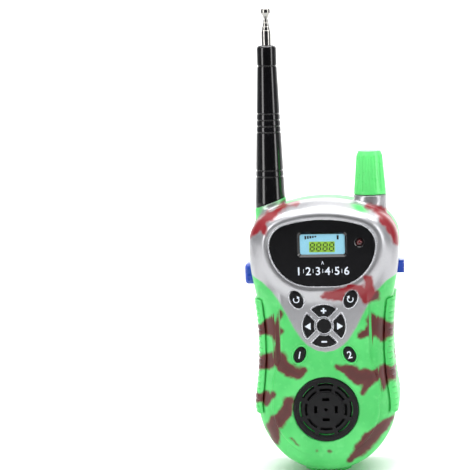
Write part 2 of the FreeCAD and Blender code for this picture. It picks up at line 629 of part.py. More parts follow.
def rear_casing():
    shell = SHELL.common(REAR_SIDE)
    backing = block(-DOOR_HALF - TONGUE_WIDTH - 2, DOOR_HALF + TONGUE_WIDTH + 2,
                    REAR_INNER - 1.6, REAR_DEPTH, 0, DOOR_TOP + 2)
    bay = block(-BAY_OUTER, BAY_OUTER, BATTERY_FRONT - BAY_GAP - BAY_WALL, REAR_DEPTH - 1,
                BATTERY_Z - BATTERY_PLAY - BAY_WALL, BAY_TOP + BAY_WALL)
    bosses = [rod_y(x, z, POST_R, FIT, REAR_DEPTH - 0.5) for x, z in CASING_SCREWS]
    clip_boss = rod_y(0, CLIP_SCREW_Z, POST_R + 0.4, REAR_INNER - 5, REAR_DEPTH - 1)
    added = [piece.common(OUTER) for piece in bosses + [clip_boss, backing, bay]]
    added.append(switch_rib())
    added.append(slider_rib())
    boss_fill = rod_z(AERIAL_X, 0, AERIAL_BOSS_R - 0.2, BOSS_FOOT, BOOT_Z + 10)
    added.append(boss_fill.cut(slanted_space(FIT)).common(REAR_SIDE).common(OUTER))
    casing = joined([shell] + added)
    cuts = side_holes() + top_holes()
    lip_room = body_solid(WALL / 2 - FIT / 2, -1, LIP_HEIGHT + FIT)
    lip_room = lip_room.cut(body_solid(WALL + 0.5, -2, LIP_HEIGHT + 1))
    cuts.append(lip_room.cut(rod_z(KNOB_X, 0, COLLAR_R, COLLAR_FOOT, BODY_TOP + 5)))
    cuts.append(block(-BAY_INNER, BAY_INNER, BATTERY_FRONT - BAY_GAP, REAR_DEPTH + 1,
                      BATTERY_Z - BATTERY_PLAY, BAY_TOP))
    recess = DOOR_THICK + FIT
    cuts.append(block(-DOOR_HALF - 0.15, DOOR_HALF + 0.15, REAR_DEPTH - recess, REAR_DEPTH + 1,
                      -1, DOOR_TOP + 0.15))
    groove = DOOR_HALF + TONGUE_WIDTH + 0.15
    cuts.append(block(-groove, groove, REAR_DEPTH - recess, REAR_DEPTH - recess + TONGUE_THICK + 2 * FIT,
                      -1, DOOR_TOP + 0.15))
    for x, z in CASING_SCREWS:
        cuts.append(rod_y(x, z, SCREW_R + FIT, -5, REAR_DEPTH + 1))
        cuts.append(rod_y(x, z, SCREW_HEAD_R + 0.3, CASING_SCREW_SEAT, REAR_DEPTH + 1))
    cuts.append(rod_y(0, CLIP_SCREW_Z, SCREW_R, REAR_INNER - 4, REAR_DEPTH + 1))
    return casing.cut(Part.makeCompound(cuts))


# ---------------------------------------------------------------- panel, card and light
def window_cut():
    """Window with a bevelled edge, wider at the front."""
    low = PANEL_Z + WINDOW_RISE
    front = PANEL_FRONT
    half = WINDOW_HALF
    wide = rounded_rectangle(half, low, low + WINDOW_HEIGHT, WINDOW_CORNER_R + 0.4, front - 0.01)
    slim = rounded_rectangle(half - WINDOW_BEVEL, low + WINDOW_BEVEL, low + WINDOW_HEIGHT - WINDOW_BEVEL,
                             WINDOW_CORNER_R, front + PANEL_THICK - CARD_THICK)
    bevel = Part.makeLoft([wide, slim], True)
    well = Part.Face(slim).extrude(Vector(0, CARD_THICK + 1, 0))
    return [bevel, well]


def rounded_rectangle(half, low, high, radius, y):
    """Wire of a rectangle with rounded corners in the plane at y."""
    arm = radius * math.sqrt(0.5)
    corners = ((half, high, 1, 1), (-half, high, -1, 1), (-half, low, -1, -1), (half, low, 1, -1))
    edges = []
    ends = []
    for index, (x, z, sx, sz) in enumerate(corners):
        cx = x - sx * radius
        cz = z - sz * radius
        upright = Vector(x, y, cz)
        level = Vector(cx, y, z)
        middle = Vector(cx + sx * arm, y, cz + sz * arm)
        first, last = (upright, level) if index % 2 == 0 else (level, upright)
        ends.append((first, middle, last))
    for index, (first, middle, last) in enumerate(ends):
        following = ends[(index + 1) % 4][0]
        edges.append(Part.Arc(first, middle, last).toShape())
        edges.append(Part.LineSegment(last, following).toShape())
    return Part.Wire(edges)


PANEL_BACK = -FRONT_DEPTH - BEZEL_HEIGHT + 2 * PANEL_SINK
PANEL_FRONT = PANEL_BACK - PANEL_THICK


def display_panel():
    panel = panel_solid(0, PANEL_FRONT, PANEL_BACK)
    panel = panel.makeChamfer(0.3, edges_at_y(panel, PANEL_FRONT))
    cuts = window_cut() + [rod_y(LED_X, PANEL_Z + LED_RISE, LED_R + FIT, PANEL_FRONT - 1, PANEL_BACK + 1)]
    cuts.append(turned(((0, -1), (LED_R + 1.1, -1), (LED_R + 1.1, 0), (LED_R, 0.8), (0, 0.8)),
                       (LED_X, PANEL_FRONT, PANEL_Z + LED_RISE), "y"))
    return panel.cut(Part.makeCompound(cuts))


def display_card():
    low = PANEL_Z + WINDOW_RISE + WINDOW_BEVEL + FIT
    high = PANEL_Z + WINDOW_RISE + WINDOW_HEIGHT - WINDOW_BEVEL - FIT
    half = WINDOW_HALF - WINDOW_BEVEL - FIT
    wire = rounded_rectangle(half, low, high, WINDOW_CORNER_R - FIT, PANEL_BACK - CARD_THICK)
    return Part.Face(wire).extrude(Vector(0, CARD_THICK, 0))


def status_led():
    z = PANEL_Z + LED_RISE
    front = PANEL_FRONT - 0.5
    lens = rod_y(LED_X, z, LED_R, front, FRONT_INNER + 1.6)
    lens = lens.makeFillet(LED_R * 0.9, edges_at_y(lens, front))
    flange = rod_y(LED_X, z, LED_R + 0.4, FRONT_INNER + 0.6, FRONT_INNER + 1.6)
    legs = [rod_y(LED_X, z + step, 0.25, FRONT_INNER + 1.6, BOARD_FRONT) for step in (-0.8, 0.8)]
    return joined([lens, flange] + legs)


# ---------------------------------------------------------------- keys
KEY_FRONT = -FRONT_DEPTH - KEY_PROUD
KEY_FLANGE_FRONT = FRONT_INNER + FIT
KEY_FLANGE_BACK = KEY_FLANGE_FRONT + KEY_FLANGE_THICK
MEMBRANE_FRONT = BOARD_FRONT - MEMBRANE_THICK
STEM_END = MEMBRANE_FRONT - KEY_TRAVEL - FIT


def keycap(name):
    prism, middle = KEYS[name]
    cap = prism(0, KEY_FRONT, KEY_FLANGE_FRONT)
    cap = cap.makeFillet(0.5, edges_at_y(cap, KEY_FRONT))
    flange = prism(KEY_FLANGE, KEY_FLANGE_FRONT, KEY_FLANGE_BACK)
    stem = rod_y(middle[0], middle[1], 1.5, KEY_FLANGE_BACK, STEM_END)
    return joined([cap, flange, stem])


def keypad_membrane():
    """Rubber sheet on the board, under all the keys."""
    half = max(HIGH_KEY_X, LOW_KEY_X) + MEMBRANE_MARGIN
    sheet = rounded_block(-half, half, MEMBRANE_FRONT, BOARD_FRONT, LOW_KEY_Z - MEMBRANE_MARGIN,
                          HIGH_KEY_Z + MEMBRANE_MARGIN, 2.0, "y")
    for x, z in BOARD_SCREWS:
        sheet = sheet.cut(rod_y(x, z, BOARD_POST_R + PLAY, MEMBRANE_FRONT - 1, BOARD_FRONT + 1))
    return sheet


# ---------------------------------------------------------------- board and what is on it
def main_board():
    board = rounded_block(-BOARD_HALF, BOARD_HALF, BOARD_FRONT, BOARD_REAR, BOARD_BOTTOM, BOARD_TOP,
                          BOARD_CORNER_R, "y")
    for x, z in BOARD_SCREWS:
        board = board.cut(rod_y(x, z, SCREW_R + FIT, BOARD_FRONT - 1, BOARD_REAR + 1))
    return board


def board_components():
    """Sound chip, crystal, coils, capacitors and resistors on the rear of the board."""
    y = BOARD_REAR
    z = BOARD_BOTTOM
    side = BOARD_HALF
    parts = [rounded_block(-7, 7, y, y + 2.2, z + 30, z + 38, 0.6, "y"),
             rounded_block(side - 15, side - 10, y, y + 4.2, z + 44, z + 47, 1.2, "y")]
    for x, rise in ((9 - side, 14), (16 - side, 10), (side - 13, 12)):
        can = rod_y(x, z + rise, 2.5, y, y + 7)
        parts.append(can.makeFillet(0.4, edges_at_y(can, y + 7)))
    for x, rise in ((11 - side, 48), (-6, 50), (4, 48)):
        parts.append(rod_y(x, z + rise, 2.0, y, y + 5.5))
    for index in range(5):
        rise = 18 + 2.6 * index
        parts.append(rod_x(y + 0.9, z + rise, 0.85, -3, 4))
    return Part.makeCompound(parts)


# ---------------------------------------------------------------- speaker
def slot_ring(radius, width, count, bar):
    """Arc slots on a circle of the grille, with radial bars between them."""
    y0 = -FRONT_DEPTH - GRILLE_PROUD - 1
    y1 = y0 + GRILLE_THICK + 2
    ring = rod_y(0, GRILLE_Z, radius + width / 2, y0, y1).cut(rod_y(0, GRILLE_Z, radius - width / 2, y0, y1))
    for index in range(count):
        spoke = block(0, radius + 5, y0, y1, GRILLE_Z - bar / 2, GRILLE_Z + bar / 2)
        spoke.rotate(Vector(0, 0, GRILLE_Z), Vector(0, 1, 0), 360.0 * (index + 0.5) / count)
        ring = ring.cut(spoke)
    return ring


def speaker_grille():
    front = -FRONT_DEPTH - GRILLE_PROUD
    disc = rod_y(0, GRILLE_Z, GRILLE_R, front, front + GRILLE_THICK)
    disc = disc.makeFillet(0.5, edges_at_y(disc, front))
    dish = rod_y(0, GRILLE_Z, GRILLE_R - 2.2, front - 1, front + 0.5)
    inner = rod_y(0, GRILLE_Z, 9.2, front + 0.1, front + 0.6)
    disc = joined([disc.cut(dish), inner])
    cuts = [slot_ring(GRILLE_R * 0.79, SLOT_WIDTH, SLOT_COUNT, 2.3),
            slot_ring(GRILLE_R * 0.62, SLOT_WIDTH, SLOT_COUNT, 1.9)]
    for turn in (0, 90, 180, 270):
        slot = block(4.6, 6.2, front - 1, front + 4, GRILLE_Z - 1.9, GRILLE_Z + 1.9)
        slot.rotate(Vector(0, 0, GRILLE_Z), Vector(0, 1, 0), turn)
        cuts.append(slot)
    cuts.append(rod_y(0, GRILLE_Z, 0.9, front - 1, front + 4))
    return disc.cut(Part.makeCompound(cuts))


def speaker_frame():
    y = FRONT_INNER
    outside = ((SPEAKER_R, 0), (SPEAKER_R, 1.2), (SPEAKER_R - 1.2, 1.6), (MAGNET_R - 0.5, SPEAKER_DEPTH),
               (3.0, SPEAKER_DEPTH), (3.0, SPEAKER_DEPTH - 0.7), (MAGNET_R - 1.0, SPEAKER_DEPTH - 0.7),
               (SPEAKER_R - 1.8, 0.9), (SPEAKER_R - 1.8, 0))
    return turned(outside, (0, y, GRILLE_Z), "y")


def speaker_cone():
    y = FRONT_INNER
    rim = SPEAKER_R - 1.8
    profile = ((0, 1.9), (3.2, 2.4), (3.6, 3.2), (rim - 1.4, 0.3), (rim, 0.3), (rim, 0.6), (rim - 1.2, 0.65),
               (4.4, 3.6), (2.6, 3.6), (2.6, 2.9), (0, 2.3))
    return turned(profile, (0, y, GRILLE_Z), "y")


def speaker_magnet():
    y = FRONT_INNER + SPEAKER_DEPTH
    magnet = rod_y(0, GRILLE_Z, MAGNET_R, y, y + MAGNET_DEPTH - 1)
    plate = rod_y(0, GRILLE_Z, MAGNET_R - 0.8, y + MAGNET_DEPTH - 1, y + MAGNET_DEPTH)
    return joined([magnet, plate])


# ---------------------------------------------------------------- aerial
BRACKET_THICK = 0.8
BRACKET_TOP = AERIAL_FOOT - 0.6
BRACKET_BACK = -9.0
BRACKET_SCREW_Z = BRACKET_TOP - 6.5


def antenna_boot():
    low = BOOT_Z - BOOT_SPIGOT_LENGTH
    taper_end = BOOT_TOP - BOOT_GROOVES[0]
    outside = turned(((0, BOOT_Z - 10), (BOOT_BASE_R, BOOT_Z - 10), (BOOT_BASE_R, BOOT_Z),
                      (BOOT_TOP_R, taper_end), (BOOT_TOP_R, BOOT_TOP), (0, BOOT_TOP)), (AERIAL_X, 0, 0), "z")
    outside = outside.makeFillet(2.0, edges_at_z(outside, BOOT_TOP)[:1]).common(slanted_space(0))
    spigot = rod_z(AERIAL_X, 0, BOOT_SPIGOT_R, low, BOOT_Z + 8)
    boot = joined([outside, spigot]).cut(rod_z(AERIAL_X, 0, TUBE_RADII[0], low - 5, BOOT_TOP + 5))
    for drop in BOOT_GROOVES:
        share = max(0.0, (drop - BOOT_GROOVES[0]) / (BOOT_HEIGHT - BOOT_GROOVES[0]))
        radius = BOOT_TOP_R + (BOOT_BASE_R - BOOT_TOP_R) * share
        boot = boot.cut(Part.makeTorus(radius + 0.1, GROOVE_R, Vector(AERIAL_X, 0, BOOT_TOP - drop)))
    return boot


def tube_span(index):
    """Lower and upper end of a telescopic tube; index 0 is the outermost."""
    return AERIAL_FOOT + FOOT_STEP * index, BOOT_TOP + TUBE_PROUD + TUBE_STEP * index


def antenna_tube(index):
    radius = TUBE_RADII[index]
    bore = radius - TUBE_WALL
    inner = (TUBE_RADII + [ROD_R])[index + 1]
    neck = inner + RUNNING
    low, high = tube_span(index)
    profile = [(bore, low), (radius, low)]
    if index:
        foot = TUBE_RADII[index - 1] - TUBE_WALL - RUNNING
        profile = [(bore, low), (foot, low), (foot, low + FOOT_LENGTH), (radius, low + FOOT_LENGTH)]
    profile += [(radius, high - CRIMP_LENGTH), (neck + TUBE_WALL, high - 0.2), (neck + 0.1, high),
                (neck, high), (neck, high - CRIMP_LENGTH + 0.4), (bore, high - CRIMP_LENGTH)]
    return turned(profile, (AERIAL_X, 0, 0), "z")


def antenna_rod():
    low, high = tube_span(len(TUBE_RADII))
    foot = TUBE_RADII[-1] - TUBE_WALL - RUNNING
    profile = ((0, low), (foot, low), (foot, low + FOOT_LENGTH), (ROD_R, low + FOOT_LENGTH), (ROD_R, TIP_Z),
               (0, TIP_Z))
    return turned(profile, (AERIAL_X, 0, 0), "z")


TIP_Z = tube_span(len(TUBE_RADII) - 1)[1] + 0.3


def antenna_tip():
    """Mushroom-shaped end cap on the innermost rod."""
    top = TIP_Z + TIP_HEIGHT
    profile = ((0, TIP_Z), (1.2, TIP_Z), (1.4, TIP_Z + 1.0), (TIP_R, top - 2.6), (TIP_R, top), (0, top))
    tip = turned(profile, (AERIAL_X, 0, 0), "z")
    return tip.makeFillet(1.4, edges_at_z(tip, top)[:1])


def antenna_base():
    """Threaded plug in the foot of the outer tube."""
    bore = TUBE_RADII[0] - TUBE_WALL
    low = AERIAL_FOOT - 0.6
    flange = rod_z(AERIAL_X, 0, TUBE_RADII[0], low, AERIAL_FOOT)
    plug = rod_z(AERIAL_X, 0, bore, AERIAL_FOOT, AERIAL_FOOT + FOOT_STEP - 0.3)
    return joined([flange, plug]).cut(rod_z(AERIAL_X, 0, SCREW_R, low - 1, AERIAL_FOOT + FOOT_STEP))


def antenna_bracket():
    """Bent metal strip that holds the foot of the aerial."""
    under = BRACKET_TOP - BRACKET_THICK
    shelf = block(AERIAL_X - 3.5, AERIAL_X + 3.5, BRACKET_BACK, 3.5, under, BRACKET_TOP)
    tab = block(AERIAL_X - 3.5, AERIAL_X + 3.5, BRACKET_BACK, BRACKET_BACK + BRACKET_THICK,
                BRACKET_SCREW_Z - 3.5, BRACKET_TOP)
    strip = joined([shelf, tab])
    strip = strip.cut(rod_z(AERIAL_X, 0, SCREW_R + FIT, under - 1, BRACKET_TOP + 1))
    return strip.cut(rod_y(AERIAL_X, BRACKET_SCREW_Z, SCREW_R + FIT, BRACKET_BACK - 1, BRACKET_BACK + 2))


def antenna_screws():
    """One screw up into the aerial's foot and one through the bracket into the front half."""
    under = BRACKET_TOP - BRACKET_THICK
    upright = screw(0, 0, 0, 2.0)
    upright.rotate(Vector(0, 0, 0), Vector(1, 0, 0), -90)
    upright.translate(Vector(AERIAL_X, 0, under))
    level = screw(AERIAL_X, BRACKET_SCREW_Z, BRACKET_BACK + BRACKET_THICK, 5.5)
    return Part.makeCompound([upright, level])


# ---------------------------------------------------------------- volume control
POT_TOP = COLLAR_TOP - WALL
KNOB_Z = COLLAR_TOP + KNOB_GAP
SHAFT_TOP = KNOB_Z + KNOB_HEIGHT - 5.0


def pot_body():
    """Rotary potentiometer with its threaded bush."""
    can = rod_z(KNOB_X, 0, POT_R, POT_TOP - POT_HEIGHT, POT_TOP)
    bush = rod_z(KNOB_X, 0, POT_BUSH_R, POT_TOP, COLLAR_TOP + NUT_THICK + 0.8)
    pins = [block(KNOB_X + step - 0.5, KNOB_X + step + 0.5, -0.2, 0.2, POT_TOP - POT_HEIGHT - 5,
                  POT_TOP - POT_HEIGHT) for step in (-3, 0, 3)]
    whole = joined([can, bush] + pins)
    return whole.cut(rod_z(KNOB_X, 0, POT_SHAFT_R + RUNNING, POT_TOP - POT_HEIGHT + 1.5, COLLAR_TOP + 9))


def pot_nut():
    corners = [Vector(KNOB_X + NUT_R * math.cos(math.radians(60 * step)),
                      NUT_R * math.sin(math.radians(60 * step)), COLLAR_TOP) for step in range(6)]
    nut = Part.Face(Part.makePolygon(corners + corners[:1])).extrude(Vector(0, 0, NUT_THICK))
    return nut.cut(rod_z(KNOB_X, 0, POT_BUSH_R, COLLAR_TOP - 1, COLLAR_TOP + 5))


def flat_shaft(grow, z0, z1):
    """Round shaft with a flat on one side."""
    radius = POT_SHAFT_R + grow
    shaft = rod_z(KNOB_X, 0, radius, z0, z1)
    flat = POT_SHAFT_R * 0.55 + grow
    return shaft.cut(block(KNOB_X - 5, KNOB_X + 5, flat, 10, z0 - 1, z1 + 1))


def pot_shaft():
    low = POT_TOP - POT_HEIGHT + 1.5 + RUNNING
    neck = COLLAR_TOP + NUT_THICK + 2.5
    return joined([rod_z(KNOB_X, 0, POT_SHAFT_R, low, neck), flat_shaft(0, neck, SHAFT_TOP)])


def volume_knob():
    top = KNOB_Z + KNOB_HEIGHT
    knob = turned(((0, KNOB_Z), (KNOB_BASE_R, KNOB_Z), (KNOB_BASE_R, KNOB_Z + 1.0), (KNOB_TOP_R, top - 2.6),
                   (KNOB_TOP_R - 1.0, top), (0, top)), (KNOB_X, 0, 0), "z")
    lean = math.degrees(math.atan((KNOB_BASE_R - KNOB_TOP_R) / (KNOB_HEIGHT - 3.6)))
    for index in range(KNOB_FLUTES):
        flute = Part.makeCylinder(1.0, KNOB_HEIGHT * 2, Vector(KNOB_BASE_R + 0.62, 0, 0))
        flute.rotate(Vector(KNOB_BASE_R + 0.62, 0, 0), Vector(0, 1, 0), -lean)
        flute.rotate(Vector(0, 0, 0), Vector(0, 0, 1), 360.0 * index / KNOB_FLUTES)
        flute.translate(Vector(KNOB_X, 0, KNOB_Z + 1.6))
        knob = knob.cut(flute)
    skirt = turned(((0, KNOB_Z - 1), (NUT_R + 0.8, KNOB_Z - 1), (NUT_R + 0.8, COLLAR_TOP + NUT_THICK + 1.4),
                    (0, COLLAR_TOP + NUT_THICK + 1.4)), (KNOB_X, 0, 0), "z")
    return knob.cut(skirt).cut(joined([flat_shaft(0, KNOB_Z, SHAFT_TOP),
                                       rod_z(KNOB_X, 0, POT_SHAFT_R, KNOB_Z, COLLAR_TOP + NUT_THICK + 2.5)]))


# ---------------------------------------------------------------- talk button and its switch
TALK_FLANGE_INNER = TALK_SEAT - FLANGE_THICK
TALK_SWITCH_FACE = TALK_FLANGE_INNER - TALK_TRAVEL - PLAY
SWITCH_BACK = TALK_SWITCH_FACE - SWITCH_DEPTH
SWITCH_BOARD_INNER = SWITCH_BACK - BOARD_THICK


def talk_button():
    half = TALK_WIDTH / 2
    cap = rounded_block(-TALK_FACE, -TALK_SEAT + 0.5, -half, half, TALK_LOW, TALK_HIGH, TALK_CORNER_R, "x")
    outer = [edge for edge in cap.Edges if edge.BoundBox.XMax < -TALK_FACE + 1e-4]
    cap = cap.makeFillet(1.8, outer)
    flange = block(-TALK_SEAT, -TALK_FLANGE_INNER, -half - FLANGE_LAP, half + FLANGE_LAP,
                   TALK_LOW - FLANGE_LAP, TALK_HIGH + FLANGE_LAP)
    return joined([cap, flange])


def talk_plunger():
    return rod_x(0, TALK_Z, PLUNGER_R, -TALK_FLANGE_INNER, -TALK_SWITCH_FACE + 0.8)


def talk_switch():
    half = SWITCH_SIZE / 2
    can = rounded_block(-TALK_SWITCH_FACE, -SWITCH_BACK, -half, half, TALK_Z - half, TALK_Z + half, 0.5, "x")
    return can.cut(rod_x(0, TALK_Z, PLUNGER_R + RUNNING, -TALK_SWITCH_FACE - 1,
                         -TALK_SWITCH_FACE + 0.8 + TALK_TRAVEL + FIT))


def switch_board():
    """Small upright board behind the talk switch."""
    return block(-SWITCH_BACK, -SWITCH_BOARD_INNER, SWITCH_BOARD_FRONT, SWITCH_BOARD_REAR,
                 TALK_Z - SWITCH_BOARD_BELOW, TALK_Z + SWITCH_BOARD_ABOVE)


def switch_rib():
    """Slotted rib of the rear half that holds the switch board."""
    low = TALK_Z - SWITCH_BOARD_BELOW
    high = TALK_Z + SWITCH_BOARD_ABOVE
    rib = block(-SWITCH_BACK - SWITCH_RIB_WALL, -SWITCH_BOARD_INNER + SWITCH_RIB_WALL,
                SWITCH_BOARD_REAR - 3, REAR_INNER + 0.5, low - SWITCH_RIB_WALL, high)
    slot = block(-SWITCH_BACK, -SWITCH_BOARD_INNER, SWITCH_BOARD_REAR - 4, SWITCH_BOARD_REAR, low, high + 1)
    return rib.cut(slot)


# ---------------------------------------------------------------- power slider and its switch
SLIDER_FLANGE_INNER = SLIDER_SEAT - FLANGE_THICK
SLIDER_FLANGE_LOW = SLIDER_Z - SLIDER_HEIGHT / 2 - FLANGE_LAP
SLIDER_FLANGE_HIGH = SLIDER_HIGH + SLIDER_TRAVEL + FLANGE_LAP
SLIDE_SWITCH_FACE = SLIDER_FLANGE_INNER - FIT


def power_slider():
    low = SLIDER_Z - SLIDER_HEIGHT / 2
    cap = block(SLIDER_SEAT - 0.5, SLIDER_FACE, -SLIDER_WIDTH / 2, SLIDER_WIDTH / 2, low, SLIDER_HIGH)
    pitch = SLIDER_HEIGHT / SLIDER_RIBS
    for index in range(SLIDER_RIBS - 1):
        z = low + pitch * (index + 1)
        groove = block(SLIDER_FACE - 0.6, SLIDER_FACE + 1, -SLIDER_WIDTH, SLIDER_WIDTH, z - 0.25, z + 0.25)
        cap = cap.cut(groove)
    flange = block(SLIDER_FLANGE_INNER, SLIDER_SEAT, -SLIDER_WIDTH / 2 - FLANGE_LAP,
                   SLIDER_WIDTH / 2 + FLANGE_LAP, SLIDER_FLANGE_LOW, SLIDER_FLANGE_HIGH)
    lever = block(SLIDE_SWITCH_FACE - LEVER_DEPTH, SLIDER_FLANGE_INNER, -1, 1, SLIDER_Z - 1, SLIDER_Z + 1)
    return joined([cap, flange, lever])


def slide_switch():
    back = SLIDE_SWITCH_FACE - SLIDE_SWITCH_DEPTH
    can = block(back, SLIDE_SWITCH_FACE, -3, 3, SLIDER_Z - SLIDE_SWITCH_BELOW, SLIDER_Z + SLIDE_SWITCH_ABOVE)
    slot = block(SLIDE_SWITCH_FACE - LEVER_DEPTH - FIT, SLIDE_SWITCH_FACE + 1, -1 - FIT, 1 + FIT,
                 SLIDER_Z - 1 - SLIDER_TRAVEL - FIT, SLIDER_Z + 1 + FIT)
    return can.cut(slot)


def slider_rib():
    """Rib of the rear half behind the slide switch."""
    back = SLIDE_SWITCH_FACE - SLIDE_SWITCH_DEPTH
    return block(back, SLIDE_SWITCH_FACE - 0.6, 3.0, REAR_INNER + 0.5,
                 SLIDER_Z - SLIDE_SWITCH_BELOW, SLIDER_Z + SLIDE_SWITCH_ABOVE)


# ---------------------------------------------------------------- battery, bay and door
def battery():
    half = BATTERY_WIDTH / 2
    top = BATTERY_Z + BATTERY_HEIGHT
    can = rounded_block(-half, half, BATTERY_FRONT, BATTERY_REAR, BATTERY_Z, top, BATTERY_CORNER_R, "z")
    middle = (BATTERY_FRONT + BATTERY_REAR) / 2
    small = rod_z(-TERMINAL_X, middle, TERMINAL_SMALL_R, top, top + TERMINAL_HEIGHT)
    large = rod_z(TERMINAL_X, middle, TERMINAL_LARGE_R, top, top + TERMINAL_HEIGHT)
    return joined([can, small, large])


def battery_snap():
    """Press-stud strip on top of the battery."""
    middle = (BATTERY_FRONT + BATTERY_REAR) / 2
    return rounded_block(-SNAP_HALF, SNAP_HALF, middle - SNAP_HALF_DEPTH, middle + SNAP_HALF_DEPTH,
                         SNAP_Z, SNAP_Z + SNAP_THICK, 3.0, "z")


def battery_door():
    plate = block(-DOOR_HALF, DOOR_HALF, REAR_DEPTH - DOOR_THICK, REAR_DEPTH + 1, -1, DOOR_TOP)
    reach_out = DOOR_HALF + TONGUE_WIDTH
    tongues = block(-reach_out, reach_out, REAR_DEPTH - DOOR_THICK, REAR_DEPTH - DOOR_THICK + TONGUE_THICK,
                    -1, DOOR_TOP)
    door = joined([plate, tongues]).common(OUTER)
    for index in range(RIDGE_COUNT):
        z = DOOR_TOP - RIDGE_DROP - RIDGE_PITCH * index
        groove = block(-RIDGE_HALF, RIDGE_HALF, REAR_DEPTH - 0.6, REAR_DEPTH + 1, z - 0.5, z + 0.5)
        door = door.cut(groove)
    return door


# ---------------------------------------------------------------- grips, foot pad and belt clip
def grip(side):
    """Ribbed pad on one side of the casing."""
    span = block(0, FAR, GRIP_EDGE - FRONT_DEPTH, REAR_DEPTH - GRIP_EDGE, GRIP_BOTTOM, GRIP_TOP)
    pad = rounded_body(-GRIP_BASE - GRIP_RIB).common(span).cut(rounded_body(0))
    base = rounded_body(-GRIP_BASE)
    count = int((GRIP_TOP - GRIP_BOTTOM) / GRIP_PITCH)
    start = (GRIP_TOP + GRIP_BOTTOM - count * GRIP_PITCH) / 2
    for index in range(count + 1):
        z = start + index * GRIP_PITCH
        groove = block(0, FAR, -FAR, FAR, z - 0.35, z + 0.35)
        pad = pad.cut(groove.cut(base))
    if side < 0:
        pad = pad.mirror(Vector(0, 0, 0), Vector(1, 0, 0))
    return pad


def foot_pad():
    """Flat foot under the lower lobe, slotted from front to back."""
    depth_front = FRONT_DEPTH - FRONT_EDGE_R
    depth_rear = REAR_DEPTH - REAR_EDGE_R
    corners = [Vector(x, -depth_front, z) for x, z in
               ((-FOOT_FLAT, 0), (FOOT_FLAT, 0), (FOOT_HALF, FOOT_END), (FOOT_HALF, LOBE_Z),
                (-FOOT_HALF, LOBE_Z), (-FOOT_HALF, FOOT_END))]
    pad = Part.Face(Part.makePolygon(corners + corners[:1])).extrude(Vector(0, depth_front + depth_rear, 0))
    pad = pad.cut(body_solid(0, -FAR, FAR))
    pad = pad.common(block(-FAR, FAR, -FAR, FAR, -1, LOBE_Z - LOBE_R * 0.8))
    pitch = 2 * FOOT_HALF / (FOOT_SLOTS + 3)
    for index in range(FOOT_SLOTS):
        x = pitch * (index - (FOOT_SLOTS - 1) / 2)
        slot = block(x - FOOT_SLOT_WIDTH / 2, x + FOOT_SLOT_WIDTH / 2, -FAR, -depth_front + 6, -1, 0.7)
        pad = pad.cut(slot)
    return pad


CLIP_SCREW_Z = CLIP_TOP - CLIP_THICK - (CLIP_BASE_LENGTH - CLIP_THICK) / 2


def belt_clip():
    """One-piece moulded clip on the rear half, open at its lower end."""
    near = REAR_DEPTH
    far = REAR_DEPTH + CLIP_GAP
    low = CLIP_TOP - CLIP_LENGTH
    base = rounded_block(-CLIP_HALF, CLIP_HALF, near, near + CLIP_THICK, CLIP_TOP - CLIP_BASE_LENGTH,
                         CLIP_TOP, 2.0, "y")
    bridge = block(-CLIP_HALF, CLIP_HALF, near, far + CLIP_THICK, CLIP_TOP - CLIP_THICK - 2, CLIP_TOP)
    arm = rounded_block(-CLIP_HALF, CLIP_HALF, far, far + CLIP_THICK, low, CLIP_TOP, 3.0, "y")
    bead = rod_x(far, low + CLIP_BEAD_RISE, CLIP_BEAD_R, -CLIP_HALF, CLIP_HALF)
    clip = joined([base, bridge, arm, bead])
    clip = clip.cut(rod_y(0, CLIP_SCREW_Z, SCREW_R + FIT, near - 1, far))
    return clip.cut(rod_y(0, CLIP_SCREW_Z, SCREW_HEAD_R + 0.8, far - 1, far + CLIP_THICK + 1))


# ---------------------------------------------------------------- every node
def build():
    NODES["front_casing"] = front_casing()
    NODES["rear_casing"] = rear_casing()
    NODES["display_panel"] = display_panel()
    NODES["display_card"] = display_card()
    NODES["status_led"] = status_led()
    for name in KEYS:
        NODES[name] = keycap(name)
    NODES["keypad_membrane"] = keypad_membrane()
    NODES["main_board"] = main_board()
    NODES["board_components"] = board_components()
    NODES["board_screws"] = Part.makeCompound(
        [screw(x, z, BOARD_REAR, BOARD_THICK + 3.0) for x, z in BOARD_SCREWS])
    NODES["speaker_grille"] = speaker_grille()
    NODES["speaker_frame"] = speaker_frame()
    NODES["speaker_cone"] = speaker_cone()
    NODES["speaker_magnet"] = speaker_magnet()
    NODES["antenna_boot"] = antenna_boot()
    for index in range(len(TUBE_RADII)):
        NODES["antenna_tube_%d" % (index + 1)] = antenna_tube(index)
    NODES["antenna_rod"] = antenna_rod()
    NODES["antenna_tip"] = antenna_tip()
    NODES["antenna_base"] = antenna_base()
    NODES["antenna_bracket"] = antenna_bracket()
    NODES["antenna_screws"] = antenna_screws()
    NODES["volume_knob"] = volume_knob()
    NODES["pot_body"] = pot_body()
    NODES["pot_shaft"] = pot_shaft()
    NODES["pot_nut"] = pot_nut()
    NODES["talk_button"] = talk_button()
    NODES["talk_plunger"] = talk_plunger()
    NODES["talk_switch"] = talk_switch()
    NODES["switch_board"] = switch_board()
    NODES["power_slider"] = power_slider()
    NODES["slide_switch"] = slide_switch()
    NODES["battery"] = battery()
    NODES["battery_snap"] = battery_snap()
    NODES["battery_door"] = battery_door()
    NODES["left_grip"] = grip(-1)
    NODES["right_grip"] = grip(1)
    NODES["foot_pad"] = foot_pad()
    NODES["belt_clip"] = belt_clip()
    NODES["clip_screw"] = screw(0, CLIP_SCREW_Z, REAR_DEPTH + CLIP_THICK, CLIP_THICK + WALL + 2.5)
    NODES["casing_screws"] = Part.makeCompound(
        [screw(x, z, CASING_SCREW_SEAT, CASING_SCREW_LENGTH) for x, z in CASING_SCREWS])


def write():
    os.makedirs("parts", exist_ok=True)
    for name, shape in NODES.items():
        shape.exportStep("parts/%s.step" % name)
        print("%-20s solids %d valid %s" % (name, len(shape.Solids), shape.isValid()))


build()
write()
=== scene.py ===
import math

